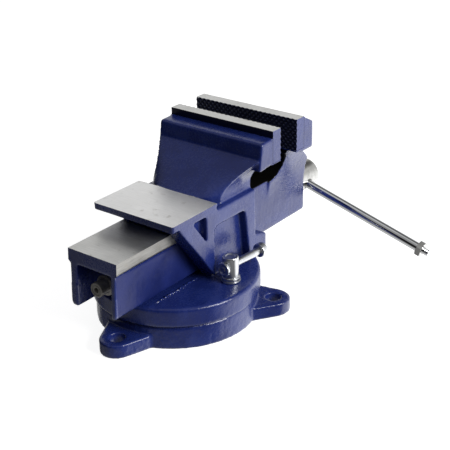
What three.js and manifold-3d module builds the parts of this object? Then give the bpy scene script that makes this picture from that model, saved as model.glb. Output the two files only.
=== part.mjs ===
// Bench vise with 100 mm jaws, a sliding jaw and a swivel base.
// Millimetres, +Z up. The origin is the swivel axis on the underside of the base.
// The lead screw lies along Y: its handle is at -Y and the anvil is at +Y.
import * as THREE from 'three';
import { mergeVertices } from 'three/addons/utils/BufferGeometryUtils.js';
import Module from 'manifold-3d';

const wasm = await Module();
wasm.setup();

// ---- Driving dimensions ------------------------------------------------------------

// Clearances
const gap = 0.3;                 // between touching pieces
const slideClearance = 0.5;      // slide in its channel, each side
const boreClearance = 0.4;       // shafts in their bores, on the radius

// Swivel base
const baseRadius = 64;
const baseHeight = 19.3;
const baseFloor = 5.5;
const baseRimRound = 2;
const earCount = 3;
const earAngle = 93.6;           // degrees from +X to the first ear
const earOverhang = 11.8;        // base's rim to bolt hole
const earRadius = 13.4;
const earThickness = 11.5;
const earRootHalfWidth = 25;
const earRootInset = 14;         // base's rim in to the ear's foot
const earHoleDiameter = 12;
const spigotRadius = 12;
const spigotHeight = 6.5;

// T-slot of the swivel lock, cut round the base
const slotHeadWidth = 16;
const slotNeckWidth = 9.4;
const slotNeckDepth = 6.3;

// Body: disc, cheeks and bridge
const discOverhang = 2;          // disc's rim past the base's
const discThickness = 15.8;
const discRimRound = 1.6;
const cheekWall = 14.65;         // each side of the slide channel
const bridgeThickness = 9.8;     // over the slide channel
const bodyFrontY = -53.5;
const bodyRearY = 38.5;
const bodyRearFootY = -4.9;      // where the sloped rear edge meets the disc
const farSetback = 16;           // of the +X cheek's rear edge, under the anvil
const pocketDepth = 7;
const toeLength = 14;
const toeHeight = 15;

// Slide
const slideWidth = 46.9;
const slideHeight = 44.7;
const slideLift = 2.6;           // over the disc
const slideRearY = 90;
const slideRearLean = 2.6;       // how much further the rear end reaches at its foot
const slideRoof = 11.3;
const bandHeight = 9;            // ground guide band along each side
const bandProud = 1.6;
const legCorner = 3;             // lower outer corner of each leg
const slideRootLap = 4;          // wide stretch of the slide, past the body's front
const legWallNear = 4.6;         // casting wall at -X
const legWallFar = 6.4;          // casting wall at +X

// Anvil
const anvilRise = 5.3;           // over the bridge
const anvilRearY = 46.5;
const anvilFrontY = -4.8;
const anvilCorner = 1.5;

// Jaws
const jawWidth = 100;
const jawRise = 42.2;            // jaw tops over the anvil
const jawFaceY = -70.5;          // fixed jaw face
const restOpening = 21.5;
const plateHeight = 26;
const plateThickness = 10.4;
const plateScrewSpread = 48;
const plateScrewRise = 10;       // over the plate's lower edge
const plateScrewRadius = 3;
const plateScrewHeadRadius = 5.2;
const plateScrewLength = 17;
const plateScrewInset = 0.05;
const plateSlotWidth = 1.2;
const plateSlotDepth = 1.3;
const neckWidth = 67;
const neckTopOverPlate = 6.5;
const neckEdgeInset = 10.5;      // back edges behind the anvil's front edge
const neckFootLap = 0.9;         // onto the anvil, at the middle
const neckFootSink = 0.35;       // where the slope starts, under the anvil's top
const neckLean = 10;             // front of the neck, out over the channel's mouth
const fixedHeadDepth = 28;       // jaw face to the back of the head
const movingHeadDepth = 24;
const fixedLedgeDrop = 6.3;      // ledge under the plate's top edge
const movingSlopeDrop = 7.5;

// Arm of the moving jaw
const armWidth = 44.4;
const armDepth = 54.5;           // moving jaw face to the arm's front
const armFlareRadius = 90;
const armFlareRise = 49;         // height of the flare under the head
const armFrontWall = 18.5;
const bossRadius = 15;
const bossRise = 3;
const throatRadius = 13;
const throatInset = 1;           // throat's centre, in from the jaw face
const throatReach = 140;         // degrees of the throat's arc
const armTopRise = 4.5;          // arm's front top edge over the slide
const armBackRise = 2;           // arm's top edge under the head's lower edge
const armRootInset = 6;          // full-width stretch of the slide, into the body

// Lead screw and its head
const screwHeight = 16.5;        // screw axis over the slide's lower edge
const screwRadius = 8;
const screwEndRadius = 5.8;
const screwEndLength = 9;
const screwRearInset = 2;        // from the slide's rear end
const spindleHeadRadius = 13.1;
const spindleHeadLength = 32.5;
const socketDepth = 8.4;
const socketRadius = 7.6;
const headPinRadius = 1.8;
const thrustWasherRadius = 14;
const thrustWasherThickness = 2;

// Retaining spring, washer and split pin behind the arm's front wall
const springPlay = 1.1;          // between the screw and the spring's wire
const springWire = 1.3;
const springLength = 15;
const springTurns = 4;
const springWasherThickness = 2;
const splitPinRadius = 1.4;
const splitPinLength = 23;

// Main nut and its bolt
const nutWidth = 24;
const nutLength = 28;
const nutY = -30;
const nutTopOverAxis = 11.5;
const nutBoltRadius = 4;
const nutBoltReach = 8.3;        // into the nut
const nutBoltHeadHeight = 5.3;
const nutBoltHeadFlats = 13;
const nutBoltWasherRadius = 8;
const nutBoltWasherThickness = 1.5;

// Handle
const handleRadius = 4;
const handleTilt = 15.6;         // degrees under the horizontal at -X
const handleReach = 127.5;       // screw axis to the far nut
const handleY = 16;              // from the back of the spindle head
const handleThreadRadius = 3;
const handleStub = 5.5;
const handleNutFlats = 12.4;
const handleNutThickness = 5;

// Swivel locks
const lockOffset = 8.9;          // from the body's side to the lock's axis
const lockY = -8;
const lockBoltRadius = 4;
const lockBoltHead = 13;
const lockBoltHeadHeight = 6;
const lockBoltRise = 8;          // over the disc
const lockWasherRadius = 7.6;
const lockWasherThickness = 1.6;
const lockNutRadius = 6.2;
const lockNutHeight = 18.8;
const lockFlangeRadius = 7.2;
const lockFlangeHeight = 2.2;
const lockBarRadius = 3;
const lockBarRise = 10.4;        // over the foot of the lock nut
const lockBarAngle = 4.2;        // degrees outward from -Y
const lockBarReach = 32.5;
const lockCapRadius = 5.6;
const lockCapNear = 2.5;
const lockCapFar = 5.5;

// ---- Derived places ----------------------------------------------------------------

const earReach = baseRadius + earOverhang;
const earRootReach = baseRadius - earRootInset;
const discRadius = baseRadius + discOverhang;

const discBottomZ = baseHeight + gap;
const discTopZ = discBottomZ + discThickness;
const slideBottomZ = discTopZ + slideLift;
const slideTopZ = slideBottomZ + slideHeight;
const channelTopZ = slideTopZ + slideClearance;
const bridgeTopZ = channelTopZ + bridgeThickness;
const anvilTopZ = bridgeTopZ + anvilRise;
const jawTopZ = anvilTopZ + jawRise;
const plateBottomZ = jawTopZ - plateHeight;
const screwZ = slideBottomZ + screwHeight;

const slideHalf = slideWidth / 2;
const legHalf = slideHalf - bandProud;
const armHalf = armWidth / 2;
const channelHalf = slideHalf + slideClearance;
const bodyHalf = channelHalf + cheekWall;
const jawHalf = jawWidth / 2;
const neckHalf = neckWidth / 2;

const movingFaceY = jawFaceY - restOpening;
const armFrontY = movingFaceY - armDepth;
const cavityFrontY = armFrontY + armFrontWall;
const bossFrontY = armFrontY - bossRise;
const washerFrontY = bossFrontY - gap - thrustWasherThickness;
const spindleBackY = washerFrontY - gap;
const spindleFrontY = spindleBackY - spindleHeadLength;
const handleCentreY = spindleBackY - handleY;
const screwRearY = slideRearY - screwRearInset;

const springRadius = screwRadius + springPlay + springWire;
const springFrontY = cavityFrontY + gap + springWire;
const springWasherY = springFrontY + springLength + springWire + gap;
const splitPinY = springWasherY + springWasherThickness + gap + splitPinRadius;

const lockX = bodyHalf + lockOffset;
const slotRadius = Math.hypot(lockX, lockY);
const plateScrewZ = plateBottomZ + plateScrewRise;

// ---- Finishes ----------------------------------------------------------------------

const finish = (color, roughness, metalness) =>
  new THREE.MeshStandardMaterial({ color, roughness, metalness });
const bluePaint = finish(0x1c2f86, 0.35, 0.1);
const groundSteel = finish(0xb9b9b4, 0.35, 1);
const darkSteel = finish(0x3a3935, 0.45, 1);
const chrome = finish(0xd6d8da, 0.12, 1);
const zinc = finish(0xc4c6c8, 0.25, 1);
const castIron = finish(0x5a5a5c, 0.6, 0.8);

// ---- Solid helpers -----------------------------------------------------------------

const axisX = new THREE.Vector3(1, 0, 0);
const axisY = new THREE.Vector3(0, 1, 0);
const axisZ = new THREE.Vector3(0, 0, 1);

// The solid of a closed geometry, for joins and cuts.
function solid(geometry) {
  const bare = geometry.clone();
  bare.deleteAttribute('normal');
  bare.deleteAttribute('uv');
  const merged = mergeVertices(bare, 1e-4);
  return new wasm.Manifold(new wasm.Mesh({
    numProp: 3,
    vertProperties: new Float32Array(merged.attributes.position.array),
    triVerts: new Uint32Array(merged.index.array),
  }));
}

// The geometry of a solid.
function geometryOf(body) {
  const mesh = body.getMesh();
  const geometry = new THREE.BufferGeometry();
  geometry.setAttribute('position', new THREE.BufferAttribute(mesh.vertProperties, 3));
  geometry.setIndex(new THREE.BufferAttribute(mesh.triVerts, 1));
  const flat = geometry.toNonIndexed();
  flat.computeVertexNormals();
  return flat;
}

// Rounds the corners of an outline. Each point is [u, v] or [u, v, radius].
function outline(points, steps = 4) {
  const count = points.length;
  const shape = [];
  points.forEach(([u, v, radius = 0], index) => {
    const corner = new THREE.Vector2(u, v);
    if (radius === 0) {
      shape.push(corner);
      return;
    }
    const before = new THREE.Vector2(...points[(index + count - 1) % count]).sub(corner);
    const after = new THREE.Vector2(...points[(index + 1) % count]).sub(corner);
    before.normalize();
    after.normalize();
    const half = Math.acos(THREE.MathUtils.clamp(before.dot(after), -1, 1)) / 2;
    const reach = radius / Math.tan(half);
    const start = corner.clone().addScaledVector(before, reach);
    const end = corner.clone().addScaledVector(after, reach);
    const middle = before.clone().add(after).normalize();
    const centre = corner.clone().addScaledVector(middle, radius / Math.sin(half));
    const from = start.clone().sub(centre).angle();
    let sweep = end.clone().sub(centre).angle() - from;
    if (sweep > Math.PI) sweep -= 2 * Math.PI;
    if (sweep < -Math.PI) sweep += 2 * Math.PI;
    for (let step = 0; step <= steps; step += 1) {
      const angle = from + (sweep * step) / steps;
      shape.push(new THREE.Vector2(Math.cos(angle), Math.sin(angle))
        .multiplyScalar(radius).add(centre));
    }
  });
  return shape;
}

// Points on an arc from one angle to another, in degrees.
function arc(u, v, radius, fromAngle, toAngle, steps) {
  return Array.from({ length: steps + 1 }, (_, step) => {
    const angle = THREE.MathUtils.degToRad(fromAngle + ((toAngle - fromAngle) * step) / steps);
    return [u + radius * Math.cos(angle), v + radius * Math.sin(angle)];
  });
}

// An outline with optional holes, pushed through a length along one axis.
function extrude(points, length, holes = []) {
  const shape = new THREE.Shape(outline(points));
  holes.forEach((hole) => shape.holes.push(new THREE.Path(outline(hole))));
  return new THREE.ExtrudeGeometry(shape, { depth: length, bevelEnabled: false });
}

// An outline in Y and Z, pushed along X from x0 to x1.
function alongX(points, x0, x1) {
  const geometry = extrude(points, x1 - x0);
  geometry.applyMatrix4(new THREE.Matrix4().makeBasis(axisY, axisZ, axisX));
  return geometry.translate(x0, 0, 0);
}

// An outline in X and Z, pushed along Y from y0 to y1.
function alongY(points, y0, y1) {
  const geometry = extrude(points, y1 - y0);
  geometry.applyMatrix4(new THREE.Matrix4().makeBasis(axisX, axisZ, axisY.clone().negate()));
  return geometry.translate(0, y1, 0);
}

// An outline in X and Y, pushed along Z from z0 to z1.
function alongZ(points, z0, z1, holes = []) {
  return extrude(points, z1 - z0, holes).translate(0, 0, z0);
}

// A block between two corners.
function block(x0, x1, y0, y1, z0, z1) {
  return alongZ([[x0, y0], [x1, y0], [x1, y1], [x0, y1]], z0, z1);
}

// A profile of [radius, height] points turned about Z.
function turned(profile, segments = 32) {
  const points = profile.map(([radius, height]) => new THREE.Vector2(radius, height));
  const geometry = new THREE.LatheGeometry(points, segments);
  return geometry.applyMatrix4(new THREE.Matrix4().makeBasis(axisX, axisZ, axisY.clone().negate()));
}

// A plain round bar along Z.
function rod(radius, z0, z1, segments = 24) {
  return turned([[0, z0], [radius, z0], [radius, z1], [0, z1]], segments);
}

// A closed skin through level sections that all have the same number of [x, y] points.
function loft(sections) {
  const count = sections[0].points.length;
  const positions = sections.flatMap(({ z, points }) => points.flatMap(([x, y]) => [x, y, z]));
  const index = [];
  for (let level = 0; level + 1 < sections.length; level += 1) {
    for (let step = 0; step < count; step += 1) {
      const a = level * count + step;
      const b = level * count + ((step + 1) % count);
      index.push(a, b, b + count, a, b + count, a + count);
    }
  }
  const last = (sections.length - 1) * count;
  const contour = sections[0].points.map(([x, y]) => new THREE.Vector2(x, y));
  const lid = sections[sections.length - 1].points.map(([x, y]) => new THREE.Vector2(x, y));
  THREE.ShapeUtils.triangulateShape(contour, []).forEach(([a, b, c]) => index.push(c, b, a));
  THREE.ShapeUtils.triangulateShape(lid, [])
    .forEach(([a, b, c]) => index.push(last + a, last + b, last + c));
  const geometry = new THREE.BufferGeometry();
  geometry.setAttribute('position', new THREE.Float32BufferAttribute(positions, 3));
  geometry.setIndex(index);
  return geometry;
}

// Lays a geometry made along Z onto Y (its top faces +Y).
function ontoY(geometry) {
  return geometry.applyMatrix4(
    new THREE.Matrix4().makeBasis(axisX.clone().negate(), axisZ, axisY));
}

// Lays a geometry made along Z onto X (its top faces +X).
function ontoX(geometry) {
  return geometry.applyMatrix4(new THREE.Matrix4().makeBasis(axisY, axisZ, axisX));
}

// A six-sided outline, measured across its flats.
function hexagon(flats) {
  const radius = flats / Math.sqrt(3);
  return arc(0, 0, radius, 0, 300, 5);
}

// A circle as an outline.
function circle(radius, u = 0, v = 0, steps = 24) {
  return arc(u, v, radius, 0, 360 - 360 / steps, steps - 1);
}

const vise = new THREE.Group();

// Adds one named piece to a group.
function add(group, name, geometry, material) {
  const mesh = new THREE.Mesh(geometry, material);
  mesh.name = name;
  group.add(mesh);
  return mesh;
}

// ---- Swivel base -------------------------------------------------------------------

function swivelBase() {
  const slotHead = slotHeadWidth / 2;
  const slotNeck = slotNeckWidth / 2;
  const slotShoulderZ = baseHeight - slotNeckDepth;
  const profile = [
    [0, 0], [baseRadius, 0], [baseRadius - 0.5, baseHeight - baseRimRound],
    [baseRadius - baseRimRound, baseHeight],
    [slotRadius + slotNeck, baseHeight], [slotRadius + slotNeck, slotShoulderZ],
    [slotRadius + slotHead, slotShoulderZ], [slotRadius + slotHead, baseFloor],
    [slotRadius - slotHead, baseFloor], [slotRadius - slotHead, slotShoulderZ],
    [slotRadius - slotNeck, slotShoulderZ], [slotRadius - slotNeck, baseHeight],
    [spigotRadius, baseHeight], [spigotRadius, baseHeight + spigotHeight - 1],
    [spigotRadius - 1, baseHeight + spigotHeight], [0, baseHeight + spigotHeight],
  ];
  const ear = alongZ([
    [earRootReach, -earRootHalfWidth],
    ...arc(earReach, 0, earRadius, -68, 68, 10),
    [earRootReach, earRootHalfWidth],
  ], 0, earThickness);
  const hole = rod(earHoleDiameter / 2, -1, earThickness + 1).translate(earReach, 0, 0);
  const inside = rod(slotRadius + slotHead + gap, baseFloor, baseHeight, 64);
  const lug = solid(ear).subtract(solid(hole)).subtract(solid(inside));
  let body = solid(turned(profile, 72));
  for (let index = 0; index < earCount; index += 1) {
    body = body.add(lug.rotate([0, 0, earAngle + (360 / earCount) * index]));
  }
  return geometryOf(body);
}

// ---- Body with the fixed jaw -------------------------------------------------------

// The neck between the bridge and the fixed jaw's head, as level sections. It widens as it
// rises, its front leans towards the jaw, and its back is a crowned slope from the anvil's
// front edge up to the head.
function fixedNeck() {
  const headBackY = jawFaceY + fixedHeadDepth;
  const topZ = plateBottomZ + neckTopOverPlate;
  const footZ = bridgeTopZ - 1;
  const neckStartZ = anvilTopZ - neckFootSink;
  const levels = 14;
  const across = 12;
  const sections = [];
  for (let level = -1; level <= levels; level += 1) {
    const rise = Math.max(0, level / levels);
    const z = level < 0 ? footZ : neckStartZ + (topZ - neckStartZ) * rise;
    const half = neckHalf + (jawHalf - 0.5 - neckHalf) * rise ** 1.7;
    const edgeY = anvilFrontY - neckEdgeInset - (anvilFrontY - neckEdgeInset - headBackY) * rise ** 1.35;
    const middleY = edgeY + (neckEdgeInset + neckFootLap) * (1 - rise) ** 2;
    const frontY = bodyFrontY - neckLean * rise ** 2;
    const points = [[-half, frontY], [half, frontY]];
    for (let step = 0; step <= across; step += 1) {
      const share = 1 - (2 * step) / across;
      points.push([half * share, edgeY + (middleY - edgeY) * (1 - share ** 4)]);
    }
    sections.push({ z, points });
  }
  return solid(loft(sections));
}

// The head that carries the fixed jaw plate, with a seat cut for the plate.
function fixedHead() {
  const seatY = jawFaceY + plateThickness + gap;
  const ledgeZ = jawTopZ - fixedLedgeDrop;
  const backY = jawFaceY + fixedHeadDepth;
  return solid(alongX([
    [jawFaceY, plateBottomZ - gap - 0.6, 0], [seatY, plateBottomZ - gap - 0.6],
    [backY, plateBottomZ - 2.4, 1.5], [backY - 3.4, ledgeZ, 2.5], [seatY, ledgeZ + 0.6],
    [seatY, plateBottomZ - gap], [jawFaceY, plateBottomZ - gap],
  ], -jawHalf, jawHalf));
}

// The room that a jaw plate takes, with its gap behind and under it.
function plateSeat(faceY, direction) {
  const front = faceY - direction;
  const back = faceY + direction * (plateThickness + gap);
  return solid(block(-jawHalf - 1, jawHalf + 1, Math.min(front, back), Math.max(front, back),
    plateBottomZ - gap, jawTopZ + 1));
}

// One cheek's outer pockets, at the side given by sign. The +X cheek has no triangle.
function cheekPockets(sign) {
  const slope = (bridgeTopZ - discTopZ) / (bodyRearY - bodyRearFootY);
  const top = bridgeTopZ - 1.2;
  const triangleY = lockY + 16.2;
  const triangleZ = discTopZ + 36.5;
  const triangle = [
    [triangleY, triangleZ], [triangleY + (top - triangleZ) / slope, top], [triangleY, top],
  ];
  const rectangle = [
    [bodyFrontY + 8.5, discTopZ], [lockY + 6.5, discTopZ],
    [lockY + 6.5, bridgeTopZ - 13, 5], [bodyFrontY + 14, bridgeTopZ - 13, 4],
  ];
  if (sign > 0) {
    return solid(alongX(rectangle, bodyHalf - pocketDepth, bodyHalf + 1));
  }
  const inner = -bodyHalf + pocketDepth;
  return solid(alongX(triangle, -bodyHalf - 1, inner)).add(solid(alongX(rectangle, -bodyHalf - 1, inner)));
}

function viseBody() {
  const cheeks = alongX([
    [bodyFrontY, discTopZ - 1], [bodyRearFootY, discTopZ - 1], [bodyRearY, bridgeTopZ - 2],
    [bodyRearY, bridgeTopZ, 0], [bodyFrontY, bridgeTopZ],
  ], -bodyHalf, bodyHalf);
  const farRelief = alongX([
    [bodyRearFootY, discTopZ - 2], [bodyRearY + 1, discTopZ - 2], [bodyRearY + 1, bridgeTopZ + 1],
    [bodyRearY - farSetback, bridgeTopZ + 1], [bodyRearFootY, discTopZ - 1],
  ], channelHalf - 2, bodyHalf + 1);
  const disc = turned([
    [0, discBottomZ], [discRadius - 0.8, discBottomZ], [discRadius, discBottomZ + 0.8],
    [discRadius, discTopZ - discRimRound], [discRadius - discRimRound, discTopZ], [0, discTopZ],
  ], 72);
  const toe = alongX([
    [bodyFrontY + 1, discTopZ - 1], [bodyFrontY + 1, discTopZ + toeHeight + 4],
    [bodyFrontY - toeLength, discTopZ + toeHeight, 2], [bodyFrontY - toeLength, discTopZ - 1, 2],
  ], channelHalf, bodyHalf);
  const anvil = alongZ([
    [-bodyHalf, anvilFrontY], [bodyHalf, anvilFrontY],
    [bodyHalf, anvilRearY, anvilCorner], [-bodyHalf, anvilRearY, anvilCorner],
  ], bridgeTopZ - 0.5, anvilTopZ);
  const channel = block(-channelHalf, channelHalf, bodyFrontY - toeLength - 5, anvilRearY + 5,
    discTopZ, channelTopZ);
  const pivotBore = rod(spigotRadius + boreClearance, discBottomZ - 1,
    baseHeight + spigotHeight + 0.6, 40);
  const counterbore = rod(nutBoltWasherRadius + 0.6, discBottomZ - 1,
    discBottomZ + nutBoltHeadHeight + nutBoltWasherThickness + 4 * gap);
  const nutBoltHole = rod(nutBoltRadius + boreClearance, discBottomZ, discTopZ + 1);
  const lockHole = rod(lockBoltRadius + boreClearance, discBottomZ - 1, discTopZ + 1);
  let body = solid(cheeks).subtract(solid(farRelief)).add(solid(disc)).add(solid(anvil));
  body = body.add(solid(toe));
  body = body.add(solid(toe).mirror([1, 0, 0]));
  body = body.add(fixedNeck()).add(fixedHead());
  body = body.subtract(solid(channel)).subtract(solid(pivotBore));
  body = body.subtract(plateSeat(jawFaceY, 1));
  body = body.subtract(solid(counterbore.translate(0, nutY, 0)));
  body = body.subtract(solid(nutBoltHole.translate(0, nutY, 0)));
  for (const sign of [-1, 1]) {
    body = body.subtract(solid(lockHole.clone().translate(sign * lockX, lockY, 0)));
    body = body.subtract(cheekPockets(sign));
    body = body.subtract(plateScrewHole(sign, jawFaceY, 1));
  }
  return geometryOf(body);
}

// ---- Moving jaw: slide, arm and head -----------------------------------------------

function movingJaw() {
  const bandZ = slideTopZ - bandHeight;
  const slide = alongY([
    [-legHalf, slideBottomZ, legCorner], [legHalf, slideBottomZ, legCorner],
    [legHalf, bandZ - bandProud],
    [slideHalf, bandZ], [slideHalf, slideTopZ], [-slideHalf, slideTopZ],
    [-slideHalf, bandZ], [-legHalf, bandZ - bandProud],
  ], bodyFrontY - slideRootLap, slideRearY + slideRearLean + 1);
  const lean = slideRearLean / slideHeight;
  const rearCut = alongX([
    [slideRearY + lean * (slideHeight + 2), slideBottomZ - 2],
    [slideRearY + slideRearLean + 4, slideBottomZ - 2], [slideRearY + slideRearLean + 4, slideTopZ + 2],
    [slideRearY - lean * 2, slideTopZ + 2],
  ], -slideHalf - 1, slideHalf + 1);
  const root = block(-armHalf, armHalf, armFrontY + 5, bodyFrontY + armRootInset,
    slideBottomZ, slideTopZ);
  const headFrontY = movingFaceY - movingHeadDepth;
  const headBottomZ = plateBottomZ - 3.6;
  const throatY = movingFaceY - throatInset;
  const throatEnd = 270 - throatReach;
  const armTopZ = slideTopZ + armTopRise;
  const armBackZ = headBottomZ - armBackRise;
  const armCrown = (armBackZ - armTopZ) / (headFrontY - armFrontY);
  const armSide = alongX([
    [movingFaceY, slideBottomZ], [movingFaceY, slideTopZ],
    ...arc(throatY, slideTopZ + throatRadius, throatRadius, 270, throatEnd, 12),
    [movingFaceY - 12, plateBottomZ], [movingFaceY - 14, plateBottomZ + 4],
    [headFrontY, plateBottomZ + 4], [headFrontY, armBackZ],
    [headFrontY - 8, armBackZ - 8 * armCrown + 1], [armFrontY + 12, armTopZ + 12 * armCrown + 1],
    [armFrontY, armTopZ, 4], [armFrontY, slideBottomZ, 2],
  ], -jawHalf, jawHalf);
  const flareZ = headBottomZ - armFlareRise;
  const reach = THREE.MathUtils.radToDeg(Math.asin(armFlareRise / armFlareRadius));
  const flareRight = arc(armHalf + armFlareRadius, flareZ, armFlareRadius, 180, 180 - reach, 12);
  const flareTopX = flareRight[flareRight.length - 1][0];
  const flareLeft = flareRight.map(([x, z]) => [-x, z]).reverse();
  const armAcross = alongY([
    [-armHalf, slideBottomZ - 1], [armHalf, slideBottomZ - 1],
    ...flareRight, [flareTopX, jawTopZ], [-flareTopX, jawTopZ], ...flareLeft,
  ], armFrontY - 1, movingFaceY + 1);
  const seatY = movingFaceY - plateThickness - gap;
  const head = alongX([
    [movingFaceY, plateBottomZ - gap], [seatY, plateBottomZ - gap], [seatY, jawTopZ - 0.6],
    [headFrontY, jawTopZ - movingSlopeDrop, 2], [headFrontY, headBottomZ, 1.5],
    [movingFaceY - 10, headBottomZ, 4], [movingFaceY, plateBottomZ - gap - 0.8],
  ], -jawHalf, jawHalf);
  const boss = ontoY(rod(bossRadius, 0, bossRise + 1, 32)).translate(0, bossFrontY, screwZ);
  const cavity = block(-legHalf + legWallNear, legHalf - legWallFar, cavityFrontY,
    slideRearY + slideRearLean + 2, slideBottomZ - 1, slideTopZ - slideRoof);
  const bore = ontoY(rod(screwRadius + boreClearance, 0, armFrontWall + bossRise + 2, 32))
    .translate(0, bossFrontY - 1, screwZ);
  let body = solid(slide).subtract(solid(rearCut)).add(solid(root));
  body = body.add(solid(armSide).intersect(solid(armAcross))).add(solid(head)).add(solid(boss));
  body = body.subtract(solid(cavity)).subtract(solid(bore));
  body = body.subtract(plateSeat(movingFaceY, -1));
  for (const sign of [-1, 1]) {
    body = body.subtract(plateScrewHole(sign, movingFaceY, -1));
  }
  return geometryOf(body);
}

// ---- Jaw plates and their screws ---------------------------------------------------

// A countersunk screw along +Z: its head's face is at 0 and its tip is at the length.
function plateScrewProfile(extra) {
  const neck = plateScrewHeadRadius - plateScrewRadius;
  return turned([
    [0, 0], [plateScrewHeadRadius + extra, 0], [plateScrewRadius + extra, neck],
    [plateScrewRadius + extra, plateScrewLength + extra], [0, plateScrewLength + extra],
  ], 20);
}

// Turns a screw made along +Z to run into a jaw from its face.
function intoJaw(geometry, side, faceY, direction) {
  ontoY(geometry);
  if (direction < 0) geometry.rotateZ(Math.PI);
  return geometry.translate(side * (plateScrewSpread / 2), faceY, plateScrewZ);
}

function plateScrewHole(side, faceY, direction) {
  return solid(intoJaw(plateScrewProfile(boreClearance), side, faceY, direction));
}

// A countersunk screw with a driver slot, a hair under the plate's face.
function plateScrew(side, faceY, direction) {
  const reach = plateScrewHeadRadius + 1;
  const slot = block(-plateSlotWidth / 2, plateSlotWidth / 2, -reach, reach, -1, plateSlotDepth);
  const screw = geometryOf(solid(plateScrewProfile(0)).subtract(solid(slot)));
  return intoJaw(screw.translate(0, 0, plateScrewInset), side, faceY, direction);
}

function jawPlate(faceY, direction) {
  const backY = faceY + direction * plateThickness;
  let plate = solid(block(-jawHalf, jawHalf, Math.min(faceY, backY), Math.max(faceY, backY),
    plateBottomZ, jawTopZ));
  for (const side of [-1, 1]) {
    plate = plate.subtract(plateScrewHole(side, faceY, direction));
  }
  return geometryOf(plate);
}

// ---- Lead screw, spindle head and retaining parts ----------------------------------

function leadScrew() {
  const frontY = spindleBackY - socketDepth + gap;
  const chamfer = 1;
  const bar = turned([
    [0, frontY], [socketRadius, frontY], [socketRadius, spindleBackY + gap],
    [screwRadius, spindleBackY + gap], [screwRadius, screwRearY - screwEndLength],
    [screwEndRadius, screwRearY - screwEndLength + chamfer],
    [screwEndRadius, screwRearY - chamfer], [screwEndRadius - chamfer, screwRearY],
    [2, screwRearY], [0, screwRearY - 3],
  ], 32);
  const splitHole = ontoX(rod(splitPinRadius + gap, -screwRadius - 1, screwRadius + 1, 12));
  const pinHole = rod(headPinRadius + gap, -socketRadius - 1, socketRadius + 1, 12);
  const holes = solid(splitHole.translate(0, splitPinY, 0))
    .add(solid(pinHole.translate(0, spindleBackY - socketDepth / 2, 0)));
  return geometryOf(solid(ontoY(bar)).subtract(holes));
}

function spindleHead() {
  const chamfer = 1.2;
  const head = turned([
    [0, spindleFrontY], [spindleHeadRadius - chamfer, spindleFrontY],
    [spindleHeadRadius, spindleFrontY + chamfer], [spindleHeadRadius, spindleBackY - chamfer],
    [spindleHeadRadius - chamfer, spindleBackY], [socketRadius + gap, spindleBackY],
    [socketRadius + gap, spindleBackY - socketDepth], [0, spindleBackY - socketDepth],
  ], 40);
  const handleHole = ontoX(rod(handleRadius + boreClearance, -spindleHeadRadius - 2,
    spindleHeadRadius + 2)).translate(0, handleCentreY, 0);
  const pinHole = rod(headPinRadius + gap, -spindleHeadRadius - 1, spindleHeadRadius + 1, 12)
    .translate(0, spindleBackY - socketDepth / 2, 0);
  return geometryOf(solid(ontoY(head)).subtract(solid(handleHole)).subtract(solid(pinHole)));
}

// A flat ring about Z.
function ring(outer, inner, thickness, segments = 32) {
  return turned([
    [inner, 0], [outer, 0], [outer, thickness], [inner, thickness], [inner, 0],
  ], segments);
}

// A round-wire compression spring about Z, from its first turn's centre line to its last.
function spring() {
  class Helix extends THREE.Curve {
    getPoint(t, target = new THREE.Vector3()) {
      const angle = t * springTurns * 2 * Math.PI;
      return target.set(springRadius * Math.cos(angle), springRadius * Math.sin(angle),
        springLength * t);
    }
  }
  const wire = new THREE.Shape(outline(circle(springWire, 0, 0, 8)));
  return new THREE.ExtrudeGeometry(wire, {
    steps: springTurns * 14, bevelEnabled: false, extrudePath: new Helix(),
  });
}

// ---- Handle ------------------------------------------------------------------------

// The handle bar along X, its reach at -X and its thread on both ends.
function handleBar() {
  const nearShoulder = spindleHeadRadius + 0.4;
  const nearEnd = nearShoulder + handleNutThickness + handleStub;
  const farEnd = handleReach + handleNutThickness + handleStub;
  const chamfer = 0.8;
  return ontoX(turned([
    [0, -farEnd], [handleThreadRadius - chamfer, -farEnd],
    [handleThreadRadius, -farEnd + chamfer], [handleThreadRadius, -handleReach + gap],
    [handleRadius, -handleReach + gap], [handleRadius, nearShoulder - gap],
    [handleThreadRadius, nearShoulder - gap], [handleThreadRadius, nearEnd - chamfer],
    [handleThreadRadius - chamfer, nearEnd], [0, nearEnd],
  ], 24));
}

// A hexagon nut about X with its corners turned off, starting at x0.
function handleNut(x0) {
  const nut = alongZ(hexagon(handleNutFlats), 0, handleNutThickness,
    [circle(handleThreadRadius + gap, 0, 0, 20)]);
  const corner = handleNutFlats / Math.sqrt(3);
  const cap = turned([
    [0, 0], [corner - 1.2, 0], [corner, 0.9], [corner, handleNutThickness - 0.9],
    [corner - 1.2, handleNutThickness], [0, handleNutThickness],
  ], 30);
  return ontoX(geometryOf(solid(nut).intersect(solid(cap)))).translate(x0, 0, 0);
}

// ---- Main nut and its bolt ---------------------------------------------------------

function mainNut() {
  const half = nutWidth / 2;
  const y0 = nutY - nutLength / 2;
  const nut = alongY([
    [-half, discTopZ + gap], [half, discTopZ + gap],
    [half, screwZ + nutTopOverAxis, 5], [-half, screwZ + nutTopOverAxis, 5],
  ], y0, y0 + nutLength);
  const bore = ontoY(rod(screwRadius + boreClearance, -1, nutLength + 1, 32))
    .translate(0, y0, screwZ);
  const boltHole = rod(nutBoltRadius + gap, discTopZ, discTopZ + nutBoltReach + 2 * gap)
    .translate(0, nutY, 0);
  return geometryOf(solid(nut).subtract(solid(bore)).subtract(solid(boltHole)));
}

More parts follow.
